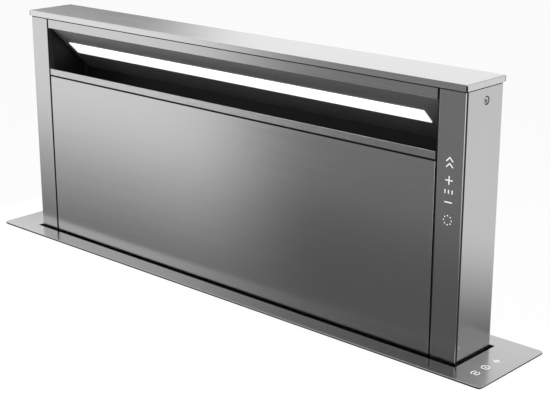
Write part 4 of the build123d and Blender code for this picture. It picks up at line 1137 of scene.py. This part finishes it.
class Intake(Part):
    """The lit intake behind the header: sloping plate, light, filters and tray."""

    finishes = {
        CANOPY_STEEL: ("light_canopy",),
        EXTRUDED: ("light_channel",),
        OPAL: ("light_diffuser",),
        # The filters, their frames and the tray wear dark grey as painted shade.
        FILTER_PAINTED_SHADE: ("filter_frames", "filter_meshes", "grease_tray"),
    }
    wire_pitch = 0.0048
    wire_radius = 0.0004
    wire_steps = 4
    wave_share = 1.1
    edge = 0.0003
    # The filters' lean: their run towards the back over their rise.
    filter_lean = math.atan2(0.0414, 0.1712)
    filter_thickness = 0.004
    layers = (-0.0012, 0.0012)
    smooth_below = 80.0

    def model(self) -> None:
        """Weave the wire cloth of the three grease filters."""
        shape = Shape()
        for points in solids("filter_meshes"):
            self.cloth(shape, points)
        piece = shape.piece("filter_cloth", self.smooth_below)
        # The cloth wears the same dark grey of painted shade.
        dress(piece, FILTER_PAINTED_SHADE, "mast", "aluminium_mesh", "filter_meshes")

    def cloth(self, shape: Shape, points: Sequence[Vector]) -> None:
        """Weave one filter's cloth, in two layers, in the place of its CAD solid.

        Args:
            shape: The mesh that takes the wires.
            points: The CAD solid's points.
        """
        low, high = limits(points)
        lean = self.filter_lean
        place = Matrix.Translation((low + high) / 2) @ Matrix.Rotation(-lean, 4, "X")
        rise = high.z - low.z - self.filter_thickness * math.sin(lean)
        half_width = (high.x - low.x) / 2 - self.edge
        half_length = 0.5 * rise / math.cos(lean) - self.edge
        for layer in self.layers:
            self.wires(shape, place, half_width, half_length, layer, False)
            self.wires(shape, place, half_length, half_width, layer, True)

    def wires(
        self, shape: Shape, place: Matrix, span: float, run: float, layer: float, turned: bool
    ) -> None:
        """Add one direction's wires, each over and under the ones that it crosses.

        Args:
            shape: The mesh that takes the wires.
            place: The filter's middle and lean.
            span: Half the width that the wires are spread over.
            run: Half the length of each wire.
            layer: Height of the layer within the filter.
            turned: Whether the wires run along X rather than up the filter.
        """
        count = int(2 * span / self.wire_pitch)
        crossings = int(2 * run / self.wire_pitch)
        lift = self.wire_radius * self.wave_share
        for index in range(count + 1):
            across = -span + 2 * span * index / count
            rings = []
            for crossing in range(crossings + 1):
                along = -run + 2 * run * crossing / crossings
                wave = lift * (-1) ** (index + crossing + turned)
                ring = []
                for angle in circle(self.wire_steps, 0.5):
                    aside = across + self.wire_radius * math.cos(angle)
                    height = layer + wave + self.wire_radius * math.sin(angle)
                    point = (along, height, aside) if turned else (aside, height, along)
                    ring.append(place @ Vector(point))
                rings.append(ring)
            ends = [[sum(ring, Vector()) / self.wire_steps] for ring in (rings[0], rings[-1])]
            shape.skin([ends[0], *rings, ends[1]])


class Lift(Part):
    """Rails, carriages, belts, shaft, gearbox and motor that raise the mast."""

    finishes = {
        EXTRUDED: ("guide_rails",),
        CAST: (
            "lift_carriages", "left_idler_pulley", "right_idler_pulley", "drive_pulleys",
            "shaft_bearings", "lift_gearbox",
        ),
        GREY_PLASTIC: ("guide_shoes",),
        RUBBER: ("lift_belts",),
        GROUND: ("cross_shaft",),
        ZINC: ("idler_brackets",),
        BLACK_ENAMEL_AND_SHADE: ("lift_motor",),
    }
    axis_y = 0.026
    shaft_z = -0.680
    idler_z = -0.045
    belt_radius = 0.012
    belt_thickness = 0.0015
    tooth_depth = 0.0007
    tooth_pitch = 0.005
    # One tooth gap and its flanks, as shares of the pitch and of the depth.
    tooth_outline = ((0.0, 0.0), (0.35, 0.0), (0.5, 1.0), (0.85, 1.0))

    def model(self) -> None:
        """Make the toothed belts."""
        shape = Shape()
        for points in solids("lift_belts"):
            low, high = limits(points)
            self.belt(shape, low.x, high.x)
        dress(shape.piece("toothed_belts"), BELT_RUBBER, "housing", "toothed_belt", "lift_belts")

    def belt(self, shape: Shape, left: float, right: float) -> None:
        """Run one toothed belt round its two pulleys.

        Args:
            shape: The mesh that takes the belt.
            left: Its left edge.
            right: Its right edge.
        """
        straight = self.idler_z - self.shaft_z
        arc = math.pi * self.belt_radius
        teeth = round(2 * (straight + arc) / self.tooth_pitch)
        step = 2 * (straight + arc) / teeth
        rings = []
        for tooth in range(teeth):
            for share, depth in self.tooth_outline:
                point, outward = self.track((tooth + share) * step, straight, arc)
                inner = point + outward * depth * self.tooth_depth
                outer = point + outward * self.belt_thickness
                edges = ((left, inner), (right, inner), (right, outer), (left, outer))
                rings.append([Vector((x, *end)) for x, end in edges])
        shape.skin(rings, closed=True)

    def track(self, reach: float, straight: float, arc: float) -> tuple[Vector, Vector]:
        """A point of the belt's inner line, and the direction out of the loop there.

        Args:
            reach: Distance along the loop from the foot of the front strand.
            straight: Length of a strand.
            arc: Length of the turn round a pulley.

        Returns:
            The point and the direction, both as Y and Z.
        """
        turns, rest = divmod(reach, straight + arc)
        side = -1.0 if int(turns) % 2 == 0 else 1.0
        base, top = (self.shaft_z, self.idler_z) if side < 0 else (self.idler_z, self.shaft_z)
        if rest <= straight:
            outward = Vector((side, 0.0))
            middle = Vector((self.axis_y, base - side * rest))
        else:
            angle = (rest - straight) / self.belt_radius
            outward = Vector((side * math.cos(angle), -side * math.sin(angle)))
            middle = Vector((self.axis_y, top))
        return middle + outward * self.belt_radius, outward


class Housing(Part):
    """Sheet-metal housing under the worktop, with its screws, clamps and feet."""

    finishes = {
        GALVANISED: (
            "housing_front", "housing_rear", "housing_left_side", "housing_right_side",
            "housing_floor", "worktop_clamps", "floor_brackets",
        ),
        ZINC: ("case_screws", "clamp_screws"),
    }
    # Case screws have the head's underside at height zero; clamp screws the frame's heights.
    case_screw = Screw(
        before=((0.0, -0.0080), (0.0012, -0.0080)),
        thread=Thread(-0.0072, -0.0004, 0.0008, 0.0003),
        shank=0.0020,
        after=(
            (0.0020, 0.0), (0.0040, 0.0), (0.0040, 0.0009), (0.0037, 0.0017), (0.0030, 0.0022),
            (0.0024, 0.0024), (0.0021, 0.0024, Form.CROSS), (0.0016, 0.0010, Form.CROSS),
            (0.0, 0.0008),
        ),
        steps=24,
    )
    head_height = 0.0024
    wider_than_shank = 0.003
    clamp_screw = Screw(
        before=(
            (0.0, -0.0920), (0.0048, -0.0920, Form.HEX), (0.0060, -0.0914, Form.HEX),
            (0.0060, -0.0880, Form.HEX), (0.0030, -0.0880),
        ),
        thread=Thread(-0.0872, -0.0360, 0.00125, 0.0005),
        shank=0.0030,
        after=(
            (0.0028, -0.0352), (0.0045, -0.0342), (0.0066, -0.0340, Form.RIBBED),
            (0.0070, -0.0334, Form.RIBBED), (0.0070, -0.0308, Form.RIBBED),
            (0.0064, -0.0300, Form.RIBBED), (0.0, -0.0300),
        ),
        steps=36,
    )

    def model(self) -> None:
        """Make the case screws and the clamp screws."""
        self.case_screws()
        self.clamp_screws()

    def case_screws(self) -> None:
        """Pan-head screws with a cross recess, in the places of their CAD solids."""
        shape = Shape()
        for points in solids("case_screws"):
            low, high = limits(points)
            middle = (low + high) / 2
            head = [p.y for p in points if abs(p.x - middle.x) > self.wider_than_shank]
            side = math.copysign(1.0, sum(head) / len(head) - middle.y)
            face = high.y if side > 0 else low.y
            seat = Vector((middle.x, face - side * self.head_height, middle.z))
            place = Matrix.Translation(seat) @ Matrix.Rotation(-side * math.pi / 2, 4, "X")
            self.case_screw.add(shape, place)
        dress(shape.piece("pan_screws"), ZINC, "housing", "zinc_screw", "case_screws")

    def clamp_screws(self) -> None:
        """Hexagon-head clamp screws with a knurled pad."""
        shape = Shape()
        for points in solids("clamp_screws"):
            self.clamp_screw.add(shape, upright(*limits(points)))
        dress(shape.piece("threaded_clamps"), ZINC, "housing", "zinc_screw", "clamp_screws")


class Blower(Part):
    """Scroll, plates, inlet ring, impeller, motor and outlet."""

    finishes = {
        GALVANISED: (
            "blower_scroll", "blower_back_plate", "blower_front_plate", "inlet_ring", "impeller",
        ),
        GROUND: ("motor_shaft", "flap_pins"),
        CAST: ("blower_motor",),
        BLACK_PLASTIC: ("outlet_collar",),
        EXTRUDED: ("front_flap", "rear_flap"),
    }


class Controls(Part):
    """Control box, power board and cable gland."""

    finishes = {
        GALVANISED: ("control_box", "control_box_cover"),
        BOARD: ("power_board",),
        BLACK_PLASTIC: ("cable_gland",),
    }
    gland_steps = 72
    seat_rise = 0.0220
    bore = 0.0045
    thread_radius = 0.0080
    # Radius, height above the gland's foot and form of the dome nut and its collar.
    dome = (
        (0.0045, 0.0), (0.0052, 0.0), (0.0064, 0.0010, Form.RIBBED),
        (0.0080, 0.0080, Form.RIBBED), (0.0094, 0.0158, Form.RIBBED), (0.0094, 0.0160),
        (0.0104, 0.0162, Form.HEX), (0.0110, 0.0168, Form.HEX), (0.0110, 0.0220, Form.HEX),
        (0.0080, 0.0220),
    )
    # The same for the locknut, above the gland's seat.
    locknut = (
        (0.0081, 0.0015), (0.0110, 0.0015, Form.HEX), (0.0110, 0.0070, Form.HEX),
        (0.0103, 0.0075, Form.HEX), (0.0081, 0.0075),
    )
    wall = 0.0015
    thread_pitch = 0.0015
    thread_depth = 0.0006
    thread_runout = 0.0004

    def model(self) -> None:
        """Make the cable gland with its locknut, thread and ribbed dome nut."""
        low, high = limits(solids("cable_gland")[0])
        foot, top = low.z, high.z
        seat = foot + self.seat_rise
        start, end = seat + self.wall, top - self.thread_runout
        thread = Thread(start, end, self.thread_pitch, self.thread_depth)
        dome = tuple((radius, foot + rise, *form) for radius, rise, *form in self.dome)
        nut = [(radius, seat + rise, *form) for radius, rise, *form in self.locknut]
        gland = Screw(dome, thread, self.thread_radius, ((self.bore, top),), self.gland_steps)
        shape = Shape()
        place = upright(low, high)
        gland.add(shape, place, closed=True)
        shape.turned(nut, place, gland.steps, closed=True)
        dress(shape.piece("ribbed_gland"), BLACK_PLASTIC, "housing", "black_plastic", "cable_gland")


# STUDIO


@dataclass(frozen=True)
class Card:
    """A graded studio card that is only seen in reflections."""

    name: str
    low_corner: Point
    high_corner: Point
    finish: GradedCard

    def hang(self) -> None:
        """Lay the card between its corners; its mesh keeps the frame's own coordinates."""
        shape = Shape()
        shape.box((self.low_corner, self.high_corner))
        card = shape.piece(self.name)
        card.data.materials.append(self.finish.material())
        card.visible_camera = card.visible_diffuse = False
        card.visible_shadow = card.visible_transmission = False


@dataclass(frozen=True)
class Lamp:
    """A soft square lamp, aimed at the middle of the worktop and kept out of reflections."""

    name: str
    place: Point
    edge: float
    watts: float

    def hang(self) -> None:
        """Hang the lamp."""
        bpy.ops.object.light_add(type="AREA", location=self.place)
        lamp = bpy.context.object
        lamp.name = self.name
        lamp.data.shape = "SQUARE"
        lamp.data.size = self.edge
        lamp.data.energy = self.watts
        lamp.visible_glossy = False
        lamp.rotation_euler = (-Vector(self.place)).to_track_quat("-Z", "Y").to_euler()


class Studio:
    """Pale floor, worktop, soft lamps, reflection cards and the camera."""

    floor_level = -0.7165
    floor_size = 14.0
    # The worktop's left, right, front and back edge, and its upper and lower height.
    worktop_edges = (-0.520, 0.560, -0.480, 0.062)
    worktop_heights = (-0.030, -0.0001)
    worktop_round = 0.0002
    cut_half_width = 0.440
    cut_half_depth = 0.060
    camera_place = (1.183, -1.214, 0.6435)
    camera_tilt = 72.75
    camera_turn = 42.53
    camera_lens = 84.62
    sensor_width = 36.0
    ambient = 0.55
    lamps = (
        Lamp("key_lamp", (-1.9, -1.7, 1.9), 1.3, 30.0),
        Lamp("fill_lamp", (2.2, -0.6, 1.4), 1.0, 9.0),
        Lamp("back_lamp", (0.6, 2.4, 1.7), 1.4, 16.0),
    )
    # The cards over the worktop give the front and the side their shading; the upright ones
    # are seen in the deck and the cap.
    cards = (
        Card(
            "front_card",
            (-3.2, -3.2, 0.0004),
            (3.2, -0.050, 0.0008),
            GradedCard(
                0.125,
                0.93,
                (Fade((0.72, -0.69, 0.0), 0.17, -0.05), Fade((0.0, -1.0, 0.0), -0.15, 0.75)),
                lift=0.10,
            ),
        ),
        Card("corner_card", (0.62, -3.2, 0.0012), (3.2, -0.34, 0.0016), GradedCard(1.3, 1.3)),
        Card(
            "front_wall",
            (-6.0, -3.02, 0.02),
            (1.5, -3.0, 4.0),
            GradedCard(0.14, 0.95, (Fade((1.0, 0.0, 0.0), -2.68, -3.25),)),
        ),
        Card(
            "side_card",
            (0.400, -0.045, 0.0004),
            (3.2, 3.2, 0.0008),
            GradedCard(0.12, 0.86, (Fade((0.35, 0.94, 0.0), 0.10, 0.62),)),
        ),
        Card("side_wall", (3.3, 0.2, 0.02), (3.32, 9.0, 2.4), GradedCard(0.12, 0.12)),
        Card("deck_card_left", (-5.5, 2.50, 1.28), (-2.35, 2.52, 2.60), GradedCard(1.25, 1.25)),
        Card("deck_card_right", (-2.35, 2.50, 1.19), (0.40, 2.52, 2.60), GradedCard(0.74, 0.74)),
        Card(
            "rear_card",
            (-8.0, 2.6, 0.15),
            (-0.5, 2.62, 2.6),
            GradedCard(0.05, 1.08, (Fade((1.0, 0.0, 0.0), -3.25, -2.25),)),
        ),
    )

    def lay_floor(self) -> None:
        """Lay the floor under the housing."""
        deselect()
        bpy.ops.mesh.primitive_plane_add(size=self.floor_size, location=(0, 0, self.floor_level))
        floor = bpy.context.object
        floor.name = "studio_floor"
        floor.data.materials.append(FLOOR_WHITE.material())

    def lay_worktop(self) -> None:
        """Lay a small piece of white worktop under the deck, open at the back."""
        left, right, front, back = self.worktop_edges
        low, high = self.worktop_heights
        side, depth = self.cut_half_width, self.cut_half_depth
        corners = (
            ((left, front), (right, -depth)),
            ((left, -depth), (-side, back)),
            ((side, -depth), (right, back)),
        )
        shape = Shape()
        for near, far in corners:
            shape.box(((*near, low), (*far, high)), self.worktop_round)
        slab = shape.piece("worktop")
        slab.data.materials.append(WORKTOP_WHITE.material())

    def light(self) -> None:
        """Light the world evenly, white where it is seen, and hang the lamps."""
        world = bpy.context.scene.world or bpy.data.worlds.new("studio")
        bpy.context.scene.world = world
        recipe = Recipe(world)
        inputs = {"Value": recipe.seen(), "To Min": self.ambient, "To Max": 1.0}
        level = recipe.node("ShaderNodeMapRange", inputs=inputs)
        recipe.output(recipe.glow("ShaderNodeBackground", level), "ShaderNodeOutputWorld")
        for lamp in self.lamps:
            lamp.hang()

    def set_camera(self) -> None:
        """Stand the camera where the photograph was taken from."""
        turn = (math.radians(self.camera_tilt), 0.0, math.radians(self.camera_turn))
        bpy.ops.object.camera_add(location=self.camera_place, rotation=turn)
        camera = bpy.context.object
        camera.name = "photo_camera"
        camera.data.lens = self.camera_lens
        camera.data.sensor_width = self.sensor_width
        bpy.context.scene.camera = camera

    def build(self) -> None:
        """Set up the whole studio."""
        self.set_camera()
        self.lay_floor()
        self.lay_worktop()
        self.light()
        for card in self.cards:
            card.hang()
        bpy.context.scene.view_settings.view_transform = "Standard"


def main() -> None:
    """Build every sub-assembly and the studio."""
    logging.basicConfig(level=logging.INFO, format="%(name)s: %(message)s")
    Studio().build()
    for part in (Deck(), Mast(), Intake(), Lift(), Housing(), Blower(), Controls()):
        part.build()
        log.info("built %s", type(part).__name__)


if __name__ == "__main__":
    main()
